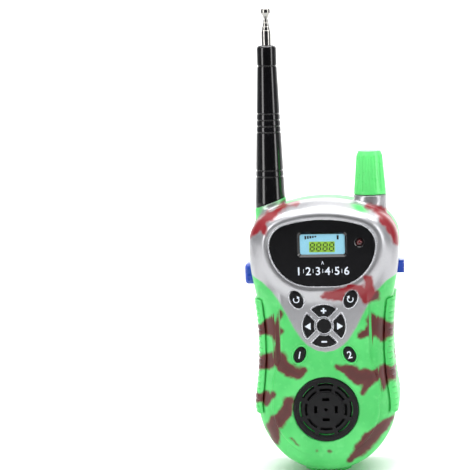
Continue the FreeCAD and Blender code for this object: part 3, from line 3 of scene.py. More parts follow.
import bpy
import numpy as np
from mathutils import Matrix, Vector


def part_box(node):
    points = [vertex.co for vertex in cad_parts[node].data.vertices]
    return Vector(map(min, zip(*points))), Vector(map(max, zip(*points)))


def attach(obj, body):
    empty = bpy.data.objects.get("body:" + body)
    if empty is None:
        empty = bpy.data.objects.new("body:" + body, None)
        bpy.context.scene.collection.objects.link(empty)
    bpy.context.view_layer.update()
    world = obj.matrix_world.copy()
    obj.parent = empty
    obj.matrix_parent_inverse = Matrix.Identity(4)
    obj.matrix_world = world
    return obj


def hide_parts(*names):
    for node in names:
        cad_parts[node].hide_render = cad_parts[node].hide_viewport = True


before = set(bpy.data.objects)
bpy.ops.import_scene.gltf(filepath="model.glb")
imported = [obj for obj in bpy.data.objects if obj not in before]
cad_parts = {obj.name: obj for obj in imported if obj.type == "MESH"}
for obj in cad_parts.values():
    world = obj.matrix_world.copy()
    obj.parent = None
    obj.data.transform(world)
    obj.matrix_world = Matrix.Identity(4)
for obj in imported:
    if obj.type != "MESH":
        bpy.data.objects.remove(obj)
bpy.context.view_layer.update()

MM = 0.001


def box_mm(node):
    """Lowest and highest corner of a node, in millimetres."""
    low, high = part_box(node)
    return Vector(low) / MM, Vector(high) / MM


# ---------------------------------------------------------------- places read from the frame, mm
casing_low, casing_high = box_mm("front_casing")
panel_low, panel_high = box_mm("display_panel")
grille_low, grille_high = box_mm("speaker_grille")
boot_low, boot_high = box_mm("antenna_boot")
knob_low, knob_high = box_mm("volume_knob")
rear_high = box_mm("rear_casing")[1]
ring_low, ring_high = box_mm("key_centre")
talk_low, talk_high = box_mm("talk_button")
slider_low, slider_high = box_mm("power_slider")
card_low, card_high = box_mm("display_card")
led_low, led_high = box_mm("status_led")
grip_low, grip_high = box_mm("right_grip")
door_high = box_mm("battery_door")[1]
battery_low, battery_high = box_mm("battery")
screws_high = box_mm("casing_screws")[1]

# ---------------------------------------------------------------- shape of the casing, mm
WALL = 2.2
COLLAR_RISE = 1.4
LOBE_BOTTOM = casing_low.z
HEAD_HALF = casing_high.x
HEAD_FLARE = 2.6
LOBE_R = HEAD_HALF - HEAD_FLARE
WAIST_R = 160.0
SIDE_R = 80.0
SHOULDER_R = 18.0
DOME_R = 71.0
HEAD_DROP = 26.0
BODY_TOP = casing_high.z - COLLAR_RISE
REAR_DEPTH = rear_high.y
FRONT_DEPTH = 21.0
FRONT_EDGE_R = 9.0
REAR_EDGE_R = 7.0
FRONT_CROWN = 0.8            # how much the face falls away at its sides
SEAM = 0.12                  # half of the line between the halves
TALK_HEIGHT = 11.0
SLIDER_TRAVEL = 3.0

AERIAL_X = (boot_low.x + boot_high.x) / 2
KNOB_X = (knob_low.x + knob_high.x) / 2
BOSS_R = 8.2
BOOT_SLANT = math.tan(math.radians(19.6))
BOOT_Z = BODY_TOP - 2.1
COLLAR_R = 8.7

RING_Z = (ring_low.z + ring_high.z) / 2
GRILLE_Z = (grille_low.z + grille_high.z) / 2
GRILLE_R = (grille_high.x - grille_low.x) / 2
PANEL_Z = panel_low.z
PANEL_TOP = panel_high.z
PANEL_HALF = panel_high.x
PANEL_FRONT = panel_low.y
PANEL_SIDE_R = 22.0
PANEL_CORNER_R = 11.0
PANEL_TOP_R = 70.0

# keys: half long and half short axes, centre and lean of the ovals, taken from their own boxes
KEY_PLAY = 0.25
KEY_FLANGE = 0.6
KEY_LEAN = math.radians(25.0)
RING_OUTER_R = 10.7
RING_INNER_R = 5.7
RING_GAP = 4.1
CENTRE_KEY_R = 3.4


# ---------------------------------------------------------------- plane geometry of the outlines
def unit(a, b):
    length = math.hypot(b[0] - a[0], b[1] - a[1])
    return ((b[0] - a[0]) / length, (b[1] - a[1]) / length)


def meeting_point(a, a_reach, b, b_reach):
    """Point at the given distances from a and b, the one further along +X."""
    span = math.hypot(b[0] - a[0], b[1] - a[1])
    along = (a_reach ** 2 - b_reach ** 2 + span ** 2) / (2 * span)
    aside = math.sqrt(a_reach ** 2 - along ** 2)
    ux, uz = unit(a, b)
    return max((a[0] + along * ux - way * aside * uz, a[1] + along * uz + way * aside * ux)
               for way in (-1, 1))


LOBE_C = (0.0, LOBE_BOTTOM + LOBE_R)
SIDE_C = (HEAD_HALF - SIDE_R, BODY_TOP - HEAD_DROP)
DOME_C = (0.0, BODY_TOP - DOME_R)
WAIST_C = meeting_point(LOBE_C, LOBE_R + WAIST_R, SIDE_C, SIDE_R + WAIST_R)
SHOULDER_C = meeting_point(SIDE_C, SIDE_R - SHOULDER_R, DOME_C, DOME_R - SHOULDER_R)
PANEL_SIDE_C = (PANEL_HALF - PANEL_SIDE_R, PANEL_Z + PANEL_SIDE_R)
PANEL_TOP_C = (0.0, PANEL_TOP - PANEL_TOP_R)
PANEL_CORNER_C = meeting_point(PANEL_TOP_C, PANEL_TOP_R - PANEL_CORNER_R,
                               PANEL_SIDE_C, PANEL_SIDE_R - PANEL_CORNER_R)


def side_of(origin, direction, x, z):
    """Positive where a point lies to the left of a ray from origin."""
    return direction[0] * (z - origin[1]) - direction[1] * (x - origin[0])


def from_centre(centre, x, z):
    return np.sqrt((x - centre[0]) ** 2 + (z - centre[1]) ** 2)


def outline_field(x, z):
    """Signed distance to the casing's outline, seen from the front."""
    x = np.abs(x)
    dome = from_centre(DOME_C, x, z) - DOME_R
    shoulder = from_centre(SHOULDER_C, x, z) - SHOULDER_R
    side = from_centre(SIDE_C, x, z) - SIDE_R
    waist = WAIST_R - from_centre(WAIST_C, x, z)
    lobe = from_centre(LOBE_C, x, z) - LOBE_R
    result = np.where(side_of(DOME_C, unit(DOME_C, SHOULDER_C), x, z) < 0, shoulder, dome)
    result = np.where(side_of(SIDE_C, unit(SIDE_C, SHOULDER_C), x, z) < 0, side, result)
    result = np.where(side_of(SIDE_C, unit(SIDE_C, WAIST_C), x, z) < 0, waist, result)
    return np.where(side_of(LOBE_C, unit(LOBE_C, WAIST_C), x, z) < 0, lobe, result)


def panel_field(x, z):
    """Signed distance to the display panel's outline."""
    x = np.abs(x)
    top = from_centre(PANEL_TOP_C, x, z) - PANEL_TOP_R
    corner = from_centre(PANEL_CORNER_C, x, z) - PANEL_CORNER_R
    side = from_centre(PANEL_SIDE_C, x, z) - PANEL_SIDE_R
    base = PANEL_Z - z + 0 * x
    result = np.where(side_of(PANEL_TOP_C, unit(PANEL_TOP_C, PANEL_CORNER_C), x, z) < 0, corner, top)
    result = np.where(side_of(PANEL_SIDE_C, unit(PANEL_SIDE_C, PANEL_CORNER_C), x, z) < 0, side, result)
    low_middle = (x < PANEL_SIDE_C[0]) & (z < PANEL_SIDE_C[1])
    result = np.where(low_middle, base, result)
    return np.where((x < PANEL_SIDE_C[0]) & (z >= PANEL_SIDE_C[1]), np.maximum(top, base), result)


def oval_places():
    """Centre, lean and half axes of each oval key, from the caps' boxes less their flange."""
    places = {}
    for name, lean in (("key_rotate_left", -1), ("key_rotate_right", 1), ("key_one", 1), ("key_two", -1)):
        low, high = box_mm(name)
        half_x = (high.x - low.x) / 2 - KEY_FLANGE
        half_z = (high.z - low.z) / 2 - KEY_FLANGE
        s2, c2 = math.sin(KEY_LEAN) ** 2, math.cos(KEY_LEAN) ** 2
        # half_x^2 = a^2 s2 + b^2 c2 and half_z^2 = a^2 c2 + b^2 s2, for half axes a (long) and b (short)
        a2 = (half_z ** 2 * c2 - half_x ** 2 * s2) / (c2 * c2 - s2 * s2)
        b2 = (half_x ** 2 * c2 - half_z ** 2 * s2) / (c2 * c2 - s2 * s2)
        places[name] = ((low.x + high.x) / 2, (low.z + high.z) / 2, lean * KEY_LEAN,
                        math.sqrt(a2), math.sqrt(b2))
    return places


OVALS = oval_places()


def oval_field(x, z, name):
    cx, cz, lean, long, short = OVALS[name]
    u = (x - cx) * math.sin(lean) + (z - cz) * math.cos(lean)
    v = (x - cx) * math.cos(lean) - (z - cz) * math.sin(lean)
    k0 = np.sqrt((u / long) ** 2 + (v / short) ** 2) + 1e-6
    k1 = np.sqrt((u / long ** 2) ** 2 + (v / short ** 2) ** 2) + 1e-6
    return k0 * (k0 - 1) / k1


def keys_field(x, z):
    """Signed distance to the nearest key."""
    w = z - RING_Z
    r = np.sqrt(x ** 2 + w ** 2)
    bars = RING_GAP / 2 - np.abs(np.abs(x) - np.abs(w)) / math.sqrt(2)
    result = np.maximum(np.maximum(r - RING_OUTER_R, RING_INNER_R - r), bars)
    result = np.minimum(result, r - CENTRE_KEY_R)
    for name in OVALS:
        result = np.minimum(result, oval_field(x, z, name))
    return result


def smooth_min(a, b, k):
    h = np.clip(0.5 + 0.5 * (b - a) / k, 0, 1)
    return b + (a - b) * h - k * h * (1 - h)


def smooth_max(a, b, k):
    return -smooth_min(-a, -b, k)


def smooth_step(low, high, value):
    t = np.clip((value - low) / (high - low), 0, 1)
    return t * t * (3 - 2 * t)


# ---------------------------------------------------------------- solid shape of the front half
CREASE_HALF_HIGH = 22.8      # raised middle of the face, half width beside the keys
CREASE_HALF_LOW = 27.9       # and round the grille
CREASE_DEPTH = 1.25
BEZEL_HEIGHT = 2.1
SHELF_DEPTH = 0.45


def body_field(x, y, z, grow=0.0):
    """Rounded body without boss or collar."""
    s = outline_field(x, z) - grow
    radius = np.where(y < 0, FRONT_EDGE_R, REAR_EDGE_R)
    depth = np.where(y < 0, FRONT_DEPTH - FRONT_CROWN * (x / 30.0) ** 2, REAR_DEPTH) + grow
    qx = s + radius
    qy = np.abs(y) - (depth - radius)
    outside = np.sqrt(np.maximum(qx, 0) ** 2 + np.maximum(qy, 0) ** 2)
    return np.minimum(np.maximum(qx, qy), 0) + outside - radius


def face_relief(x, z):
    """Height added to the front face: bulging bezel, shelf above it and creases down both sides."""
    p = panel_field(x, z)
    bezel = BEZEL_HEIGHT * np.exp(-((p - 2.4) / 3.7) ** 2)
    shelf = -SHELF_DEPTH * np.exp(-((p - 7.8) / 1.7) ** 2) * smooth_step(112, 128, z)
    spread = smooth_step(66, 47, z)
    half = CREASE_HALF_HIGH + (CREASE_HALF_LOW - CREASE_HALF_HIGH) * spread
    beside = np.abs(x) - half
    round_low = from_centre(LOBE_C, x, z) - CREASE_HALF_LOW
    beyond = np.where(z < LOBE_C[1], round_low, beside)
    fade = smooth_step(99, 89, z) * smooth_step(8.5, 19.0, z)
    step = -CREASE_DEPTH * smooth_step(-0.1, 0.8, beyond) * fade
    lip = 0.18 * np.exp(-((beyond + 0.7) / 0.8) ** 2) * fade
    return bezel + shelf + step + lip


def tops_field(x, y, z, body):
    """Body joined to the slanted aerial boss and the knob's collar with soft fillets."""
    soft = 0.3 + 3.2 * smooth_step(-0.5, -5.0, y)
    boss = np.sqrt((x - AERIAL_X) ** 2 + y ** 2) - BOSS_R
    slant = (z - BOOT_Z - (x - AERIAL_X) * BOOT_SLANT + 0.15) * math.cos(math.atan(BOOT_SLANT))
    boss = smooth_max(np.maximum(boss, 120.0 - z), slant, 0.5)
    collar = np.sqrt((x - KNOB_X) ** 2 + y ** 2) - COLLAR_R
    collar = smooth_max(np.maximum(collar, 120.0 - z), z - (BODY_TOP + COLLAR_RISE), 0.8)
    return smooth_min(smooth_min(body, boss, soft), collar, soft)


def rod_field(x, y, cx, cy, radius):
    return np.sqrt((x - cx) ** 2 + (y - cy) ** 2) - radius


def slab_field(value, low, high):
    return np.maximum(low - value, value - high)


def block_field(x, y, z, low, high):
    """Distance to an upright block, exact outside its faces only."""
    result = np.maximum(slab_field(x, low[0], high[0]), slab_field(y, low[1], high[1]))
    return np.maximum(result, slab_field(z, low[2], high[2]))


def shared_holes(x, y, z):
    """Openings that both halves have: talk button, slider, aerial and volume control."""
    lap = (talk_high.z - talk_low.z) / 2 - TALK_HEIGHT / 2
    talk = (-60.0, talk_low.y + lap - KEY_PLAY, talk_low.z + lap - KEY_PLAY)
    talk = block_field(x, y, z, talk, (-30.0, -talk[1], talk_high.z - lap + KEY_PLAY))
    slider = (30.0, slider_low.y + lap - KEY_PLAY, slider_low.z + lap - SLIDER_TRAVEL - KEY_PLAY)
    slider = block_field(x, y, z, slider, (60.0, -slider[1], slider_high.z - lap - SLIDER_TRAVEL + KEY_PLAY))
    spigot = np.maximum(rod_field(x, y, AERIAL_X, 0, 6.1), boot_low.z - 0.1 - z)
    tube = np.maximum(rod_field(x, y, AERIAL_X, 0, 2.6), 105.0 - z)
    bush = np.maximum(rod_field(x, y, KNOB_X, 0, 3.5), 135.0 - z)
    result = np.minimum(talk, slider)
    for cut in (spigot, tube, bush):
        result = np.minimum(result, cut)
    return result


def front_holes(x, y, z):
    """Everything that is cut out of the front half."""
    panel = np.maximum(panel_field(x, z) - 0.12, y - panel_high.y)
    keys = np.maximum(keys_field(x, z) - KEY_PLAY - 0.4, y + 14.0)
    r = np.sqrt(x ** 2 + (z - GRILLE_Z) ** 2)
    grille = np.maximum(r - GRILLE_R - 0.12, y - grille_high.y)
    sound = np.maximum(r - (GRILLE_R - 3.5), y + 15.0)
    lx, lz = (led_low.x + led_high.x) / 2, (led_low.z + led_high.z) / 2
    light = np.maximum(np.sqrt((x - lx) ** 2 + (z - lz) ** 2) - 1.6, y + 14.0)
    result = shared_holes(x, y, z)
    for cut in (panel, keys, grille, sound, light):
        result = np.minimum(result, cut)
    return result


def hollow_field(x, y, z, body):
    """Space inside both halves."""
    inner = np.minimum(body + WALL, np.maximum(rod_field(x, y, KNOB_X, 0, COLLAR_R - WALL),
                                               slab_field(z, 122.0, BODY_TOP + COLLAR_RISE - WALL)))
    boss_wall = rod_field(x, y, AERIAL_X, 0, BOSS_R - 0.3)
    return np.maximum(inner, -np.maximum(boss_wall, 122.0 - z))


def front_field(x, y, z):
    """The whole hollow front half."""
    body = body_field(x, y, z)
    facing = smooth_step(-9.0, -18.0, y)
    outer = tops_field(x, y, z, body - face_relief(x, z) * facing)
    shell = np.maximum(outer, -hollow_field(x, y, z, body))
    shell = smooth_max(shell, -front_holes(x, y, z), 0.3)
    return smooth_max(shell, y + SEAM, 0.25)


def screw_places():
    """Centres of the screws that hold the halves, from the vertices of their node."""
    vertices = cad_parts["casing_screws"].data.vertices
    places = []
    for vertex in vertices:
        x, z = vertex.co.x / MM, vertex.co.z / MM
        for group in places:
            if math.hypot(group[0][0] - x, group[0][1] - z) < 6:
                group.append((x, z))
                break
        else:
            places.append([(x, z)])
    return [tuple((min(p[axis] for p in group) + max(p[axis] for p in group)) / 2 for axis in (0, 1))
            for group in places]


SCREWS = screw_places()
DOOR_TOP = door_high.z
DOOR_REACH = door_high.x
DOOR_HALF = DOOR_REACH - 1.2
DOOR_FRONT = rear_high.y - 1.7
BAY_INNER = (battery_high.x - battery_low.x) / 2 + 0.4
BAY_WALL = 1.5
BAY_TOP = DOOR_TOP - 3.0


def rear_field(x, y, z):
    """The whole hollow rear half, with its bay, door recess and screw wells."""
    body = body_field(x, y, z)
    outer = tops_field(x, y, z, body)
    backing = block_field(x, y, z, (-DOOR_REACH - 2, REAR_DEPTH - WALL - 1.6, 0),
                          (DOOR_REACH + 2, REAR_DEPTH, DOOR_TOP + 2))
    bay_low = battery_low - Vector((0, 0.3, 0.4))
    outer_bay = block_field(x, y, z, (-BAY_INNER - BAY_WALL, bay_low.y - BAY_WALL, bay_low.z - BAY_WALL),
                            (BAY_INNER + BAY_WALL, REAR_DEPTH - 1, BAY_TOP + BAY_WALL))
    solid = np.minimum(backing, outer_bay)
    wells = 50.0
    for cx, cz in SCREWS:
        r = np.sqrt((x - cx) ** 2 + (z - cz) ** 2)
        solid = np.minimum(solid, np.maximum(r - 4.0, 2.0 - y))
        wells = np.minimum(wells, np.maximum(r - 2.7, screws_high.y - 1.6 - y))
        wells = np.minimum(wells, r - 1.35)
    shell = np.maximum(outer, -np.maximum(hollow_field(x, y, z, body), -solid))
    cut = np.minimum(shared_holes(x, y, z), wells)
    cut = np.minimum(cut, block_field(x, y, z, (-BAY_INNER, bay_low.y, bay_low.z),
                                      (BAY_INNER, REAR_DEPTH + 2, BAY_TOP)))
    cut = np.minimum(cut, block_field(x, y, z, (-DOOR_HALF - 0.15, DOOR_FRONT, -2),
                                      (DOOR_HALF + 0.15, 30, DOOR_TOP + 0.15)))
    cut = np.minimum(cut, block_field(x, y, z, (-DOOR_REACH - 0.15, DOOR_FRONT, -2),
                                      (DOOR_REACH + 0.15, DOOR_FRONT + 1.1, DOOR_TOP + 0.15)))
    shell = smooth_max(shell, -cut, 0.25)
    return smooth_max(shell, SEAM - y, 0.25)


GRIP_BASE = 0.7
GRIP_RIB = 0.75
GRIP_PITCH = 3.1


def grip_field(x, y, z):
    """Ribbed pad on one side: a thin skin with a ladder of pillow-shaped ribs."""
    body = body_field(x, y, z)
    middle = (grip_low.z + grip_high.z) / 2
    turn = (z - middle) / GRIP_PITCH
    inside = np.abs(turn - np.round(turn)) * GRIP_PITCH
    across = smooth_step(grip_low.y, grip_low.y + 1.1, y) * smooth_step(grip_high.y, grip_high.y - 1.1, y)
    rib = GRIP_RIB * np.sqrt(np.clip(1 - (inside / 1.45) ** 4, 0, 1)) * across
    pad = body - GRIP_BASE - rib
    result = smooth_max(pad, slab_field(z, grip_low.z, grip_high.z), 0.7)
    result = smooth_max(result, slab_field(y, grip_low.y, grip_high.y), 0.7)
    return np.maximum(result, -(body + 0.25))


# ---------------------------------------------------------------- meshes from signed distance fields
CORNERS = [(i, j, k) for i in (0, 1) for j in (0, 1) for k in (0, 1)]
CELL_EDGES = [(a, b) for a in range(8) for b in range(a + 1, 8)
              if sum(abs(CORNERS[a][axis] - CORNERS[b][axis]) for axis in range(3)) == 1]


def surface_net(field, low, high, pitch):
    """Vertices and quads of the zero surface of a field, snapped onto it."""
    axes = [np.arange(low[axis], high[axis] + pitch, pitch) for axis in range(3)]
    values = field(axes[0][:, None, None], axes[1][None, :, None], axes[2][None, None, :]).astype(np.float32)
    inside = values < 0
    shape = np.array(values.shape) - 1
    count = np.zeros(shape, np.int8)
    for i, j, k in CORNERS:
        count += inside[i:i + shape[0], j:j + shape[1], k:k + shape[2]]
    cells = np.argwhere((count > 0) & (count < 8))
    index = np.full(shape, -1, np.int32)
    index[tuple(cells.T)] = np.arange(len(cells))
    corner_values = np.stack([values[tuple((cells + corner).T)] for corner in CORNERS], 1)
    total = np.zeros((len(cells), 3))
    hits = np.zeros(len(cells))
    for a, b in CELL_EDGES:
        va, vb = corner_values[:, a], corner_values[:, b]
        crossing = (va < 0) != (vb < 0)
        share = np.where(crossing, va / np.where(crossing, va - vb, 1), 0)
        start, step = np.array(CORNERS[a]), np.array(CORNERS[b]) - np.array(CORNERS[a])
        total += crossing[:, None] * (start + share[:, None] * step)
        hits += crossing
    points = np.array([axis[0] for axis in axes]) + (cells + total / hits[:, None]) * pitch
    quads = []
    for axis in range(3):
        u, v = (axis + 1) % 3, (axis + 2) % 3
        ahead = [slice(None)] * 3
        behind = [slice(None)] * 3
        ahead[axis], behind[axis] = slice(1, None), slice(None, -1)
        first, second = inside[tuple(behind)], inside[tuple(ahead)]
        edges = np.argwhere(first != second)
        edges = edges[(edges[:, u] > 0) & (edges[:, v] > 0)
                      & (edges[:, u] < shape[u]) & (edges[:, v] < shape[v])]
        ring = []
        for du, dv in ((1, 1), (0, 1), (0, 0), (1, 0)):
            at = edges.copy()
            at[:, u] -= du
            at[:, v] -= dv
            ring.append(index[tuple(at.T)])
        ring = np.stack(ring, 1)
        leaving = first[tuple(edges.T)]
        ring[~leaving] = ring[~leaving][:, ::-1]
        quads.append(ring)
    return snap(field, points, pitch), np.concatenate(quads)


def snap(field, points, pitch, rounds=4):
    """Moves points onto the zero surface along the field's slope."""
    eps = 0.04
    for _ in range(rounds):
        x, y, z = points.T
        value = field(x, y, z)
        slope = np.stack([field(x + eps, y, z) - field(x - eps, y, z),
                          field(x, y + eps, z) - field(x, y - eps, z),
                          field(x, y, z + eps) - field(x, y, z - eps)], 1) / (2 * eps)
        size = np.maximum((slope ** 2).sum(1), 0.2)
        move = -(value / size)[:, None] * slope
        length = np.sqrt((move ** 2).sum(1))[:, None] + 1e-9
        points = points + move * np.minimum(1, 0.45 * pitch / length)
    return points


def mesh_object(name, points, faces, smooth=True):
    """Object from points in millimetres and faces of any size."""
    mesh = bpy.data.meshes.new(name)
    points = np.asarray(points, float) * MM
    mesh.vertices.add(len(points))
    mesh.vertices.foreach_set("co", points.ravel())
    if isinstance(faces, np.ndarray):
        sizes = np.full(len(faces), faces.shape[1])
        corners = faces.ravel()
    else:
        sizes = np.array([len(face) for face in faces])
        corners = np.concatenate([np.asarray(face) for face in faces])
    mesh.loops.add(len(corners))
    mesh.loops.foreach_set("vertex_index", corners.astype(np.int32))
    mesh.polygons.add(len(sizes))
    starts = np.concatenate([[0], np.cumsum(sizes)[:-1]])
    mesh.polygons.foreach_set("loop_start", starts.astype(np.int32))
    mesh.polygons.foreach_set("use_smooth", np.full(len(sizes), smooth))
    mesh.update(calc_edges=True)
    mesh.validate()
    piece = bpy.data.objects.new(name, mesh)
    bpy.context.scene.collection.objects.link(piece)
    return piece


def thin_out(piece, keep, ratio):
    """Collapses triangles away from the vertices to keep."""
    group = piece.vertex_groups.new(name="unseen")
    group.add([int(i) for i in np.flatnonzero(~keep)], 1.0, "REPLACE")
    bpy.context.view_layer.objects.active = piece
    modifier = piece.modifiers.new("thin", "DECIMATE")
    modifier.ratio = ratio
    modifier.vertex_group = group.name
    bpy.ops.object.modifier_apply(modifier=modifier.name)
    piece.vertex_groups.clear()


# ---------------------------------------------------------------- node graphs
class Graph:
    """A material's node tree with short calls for its nodes."""

    def __init__(self, tree):
        self.tree = tree

    def node(self, kind, inputs=(), **settings):
        made = self.tree.nodes.new(kind)
        for key, value in settings.items():
            setattr(made, key, value)
        for key, value in dict(inputs).items():
            self.feed(made.inputs[key], value)
        return made

    def feed(self, socket, value):
        if isinstance(value, bpy.types.NodeSocket):
            self.tree.links.new(value, socket)
        else:
            socket.default_value = value

    def math(self, operation, a, b=0.0, c=0.0, clamp=False):
        made = self.node("ShaderNodeMath", {0: a, 1: b, 2: c}, operation=operation, use_clamp=clamp)
        return made.outputs[0]

    def vector(self, operation, a, b=(0, 0, 0), output=0):
        made = self.node("ShaderNodeVectorMath", {0: a, 1: b}, operation=operation)
        return made.outputs[output]

    def scaled(self, a, scale):
        made = self.node("ShaderNodeVectorMath", {0: a, "Scale": scale}, operation="SCALE")
        return made.outputs[0]

    def remap(self, value, low, high, to_low=0.0, to_high=1.0, kind="SMOOTHSTEP"):
        made = self.node("ShaderNodeMapRange", {0: value, 1: low, 2: high, 3: to_low, 4: to_high},
                         interpolation_type=kind)
        return made.outputs[0]

    def mix(self, share, a, b):
        made = self.node("ShaderNodeMix", {0: share, 6: a, 7: b}, data_type="RGBA")
        return made.outputs[2]

    def noise(self, where, scale, detail=2.0, rough=0.5, output=0):
        made = self.node("ShaderNodeTexNoise", {"Vector": where, "Scale": scale, "Detail": detail,
                                                "Roughness": rough})
        return made.outputs[output]


def place_mm(graph):
    """Position in the object's own frame, in millimetres."""
    coordinates = graph.node("ShaderNodeTexCoord").outputs["Object"]
    return graph.scaled(coordinates, 1 / MM)


def rgb(red, green, blue):
    """Linear colour from sRGB bytes."""
    def linear(byte):
        share = byte / 255
        return share / 12.92 if share <= 0.04045 else ((share + 0.055) / 1.055) ** 2.4
    return (linear(red), linear(green), linear(blue), 1.0)


def new_material(name):
    material = bpy.data.materials.new(name)
    material.use_nodes = True
    tree = material.node_tree
    tree.nodes.clear()
    graph = Graph(tree)
    shader = graph.node("ShaderNodeBsdfPrincipled")
    output = graph.node("ShaderNodeOutputMaterial")
    tree.links.new(shader.outputs[0], output.inputs[0])
    return material, graph, shader


def add_bump(graph, shader, height, strength, distance_mm):
    bump = graph.node("ShaderNodeBump",
                      {"Height": height, "Strength": strength, "Distance": distance_mm * MM})
    graph.feed(shader.inputs["Normal"], bump.outputs[0])


def plastic(name, colour, rough, tone=0.12, grain=0.25, coat=0.0, metal=0.0, grain_scale=2.2, scratches=0.0,
            shine=0.5):
    """Moulded plastic or plain metal: tone varies slowly, with a fine grain and faint rubbed patches."""
    material, graph, shader = new_material(name)
    where = place_mm(graph)
    slow = graph.noise(where, 0.06, 3.0)
    dark = tuple(c * (1 - tone) for c in colour[:3]) + (1.0,)
    light = tuple(min(1.0, c * (1 + tone)) for c in colour[:3]) + (1.0,)
    graph.feed(shader.inputs["Base Color"], graph.mix(graph.remap(slow, 0.3, 0.7), dark, light))
    patch = graph.noise(where, 0.35, 4.0, 0.6)
    graph.feed(shader.inputs["Roughness"],
               graph.remap(patch, 0.3, 0.75, rough * 0.82, min(1.0, rough * 1.25)))
    fine = graph.noise(where, grain_scale, 2.0)
    height = fine
    if scratches:
        streak = graph.noise(graph.vector("MULTIPLY", where, (3.0, 3.0, 0.12)), 1.6, 1.0)
        height = graph.math("ADD", fine, graph.math("MULTIPLY", graph.remap(streak, 0.66, 0.72), scratches))
    add_bump(graph, shader, height, grain, 0.02)
    shader.inputs["Metallic"].default_value = metal
    shader.inputs["Specular IOR Level"].default_value = shine
    shader.inputs["Coat Weight"].default_value = coat
    shader.inputs["Coat Roughness"].default_value = 0.08
    return material


# ---------------------------------------------------------------- sprayed paint of the casing
GREEN = rgb(86, 214, 112)
GREEN_DEEP = rgb(66, 196, 94)
GREEN_LIGHT = rgb(118, 232, 140)
SILVER = rgb(188, 188, 190)
SILVER_DEEP = rgb(164, 164, 168)
MAROON = rgb(78, 8, 16)
MAROON_EDGE = rgb(92, 16, 24)
MAROON_BRIGHT = rgb(138, 14, 28)

# brush strokes of the maroon splotches, in mm: start (x, z), end (x, z), radius at each end
BODY_STROKES = (
    # left side, upper: K shape
    ((-23.6, 83.6), (-29.2, 77.8), 1.1, 2.2),
    ((-29.2, 77.0), (-37.5, 73.0), 2.4, 2.8),
    ((-31.0, 74.4), (-23.4, 73.8), 2.7, 1.3),
    ((-27.2, 73.6), (-25.9, 70.0), 2.6, 1.3),
    # left side, middle band running to the right and down
    ((-37.5, 56.4), (-31.0, 57.2), 4.2, 3.3),
    ((-31.0, 57.6), (-24.8, 59.2), 3.2, 3.8),
    ((-24.8, 58.4), (-19.4, 53.0), 3.7, 3.1),
    ((-19.4, 52.6), (-15.2, 51.2), 3.1, 2.5),
    ((-15.2, 51.3), (-11.3, 53.0), 2.4, 1.2),
    # left side, small patch
    ((-37.0, 37.6), (-33.0, 38.4), 2.2, 2.5),
    ((-33.0, 38.8), (-29.2, 39.6), 2.3, 1.5),
    ((-32.6, 37.6), (-33.0, 34.0), 2.4, 1.1),
    # left side, lower diagonal
    ((-19.6, 36.8), (-22.0, 30.4), 2.2, 3.0),
    ((-22.0, 30.4), (-26.6, 25.0), 3.0, 3.5),
    ((-26.6, 25.0), (-30.2, 21.2), 3.5, 3.0),
    ((-29.0, 21.4), (-28.0, 14.6), 3.2, 1.8),
    # right side, upper blob
    ((25.8, 78.8), (30.5, 76.6), 2.9, 3.1),
    ((25.0, 75.2), (33.0, 73.8), 2.7, 3.5),
    ((18.8, 71.5), (25.5, 73.0), 1.2, 2.3),
    ((29.8, 71.8), (30.6, 69.6), 2.3, 1.5),
    ((33.0, 73.0), (40.0, 72.0), 3.3, 3.0),
    # right side, middle band with drips
    ((6.3, 55.0), (14.7, 51.8), 1.0, 3.2),
    ((14.7, 51.2), (18.6, 49.2), 3.0, 3.7),
    ((18.6, 49.6), (21.8, 50.4), 3.1, 2.7),
    ((20.4, 48.4), (26.2, 48.8), 3.0, 2.4),
    ((26.0, 49.6), (31.2, 52.2), 2.4, 2.2),
    ((31.2, 52.0), (40.0, 48.8), 2.3, 3.7),
    ((22.8, 46.8), (19.7, 40.6), 2.3, 0.9),
    ((33.2, 49.0), (30.8, 42.2), 1.6, 0.9),
    # right side, lower diagonal
    ((35.8, 26.0), (29.6, 21.6), 0.7, 2.4),
    ((29.0, 20.8), (23.4, 15.8), 2.4, 3.6),
    ((23.4, 15.8), (18.4, 10.4), 3.6, 3.1),
    ((18.4, 10.2), (12.6, 4.8), 2.9, 1.3),
    # on the silver, right of the middle: flame round the oval key, with an arm up the side
    ((-0.4, 92.0), (6.4, 93.0), 0.6, 2.6),
    ((6.4, 93.0), (9.0, 92.8), 2.6, 2.5),
    ((8.0, 94.6), (14.4, 97.0), 1.7, 1.1),
    ((14.4, 97.4), (19.6, 96.0), 1.1, 1.6),
    ((19.6, 96.0), (23.6, 91.2), 1.8, 3.0),
    ((23.6, 91.2), (28.0, 92.2), 2.9, 1.9),
    ((24.0, 101.0), (24.4, 93.0), 1.8, 2.7),
    # head, top left: streak along the shoulder with a lobe
    ((-13.4, 142.8), (-20.0, 140.6), 0.3, 0.8),
    ((-20.0, 140.6), (-28.4, 135.4), 0.8, 1.8),
    ((-28.4, 135.4), (-34.2, 131.2), 1.8, 2.3),
    ((-34.2, 131.0), (-38.5, 126.6), 2.2, 1.8),
    ((-31.8, 131.2), (-31.0, 128.8), 1.9, 1.7),
    # head, top right: streak widening down the side
    ((24.4, 139.4), (29.6, 137.8), 0.7, 1.1),
    ((29.6, 137.6), (34.4, 134.0), 1.2, 2.5),
    ((34.4, 134.0), (37.6, 127.4), 2.6, 2.4),
    ((37.6, 127.4), (39.8, 120.6), 2.2, 1.2),
    ((32.6, 133.4), (33.6, 131.2), 1.4, 1.5),
    # faint dash and dots below the grille
    ((-19.4, 16.0), (-15.2, 13.2), 0.1, 0.1),
    ((1.4, 9.3), (1.6, 9.3), 0.3, 0.3),
    ((-5.9, 9.5), (-5.7, 9.5), -0.1, -0.1),
)
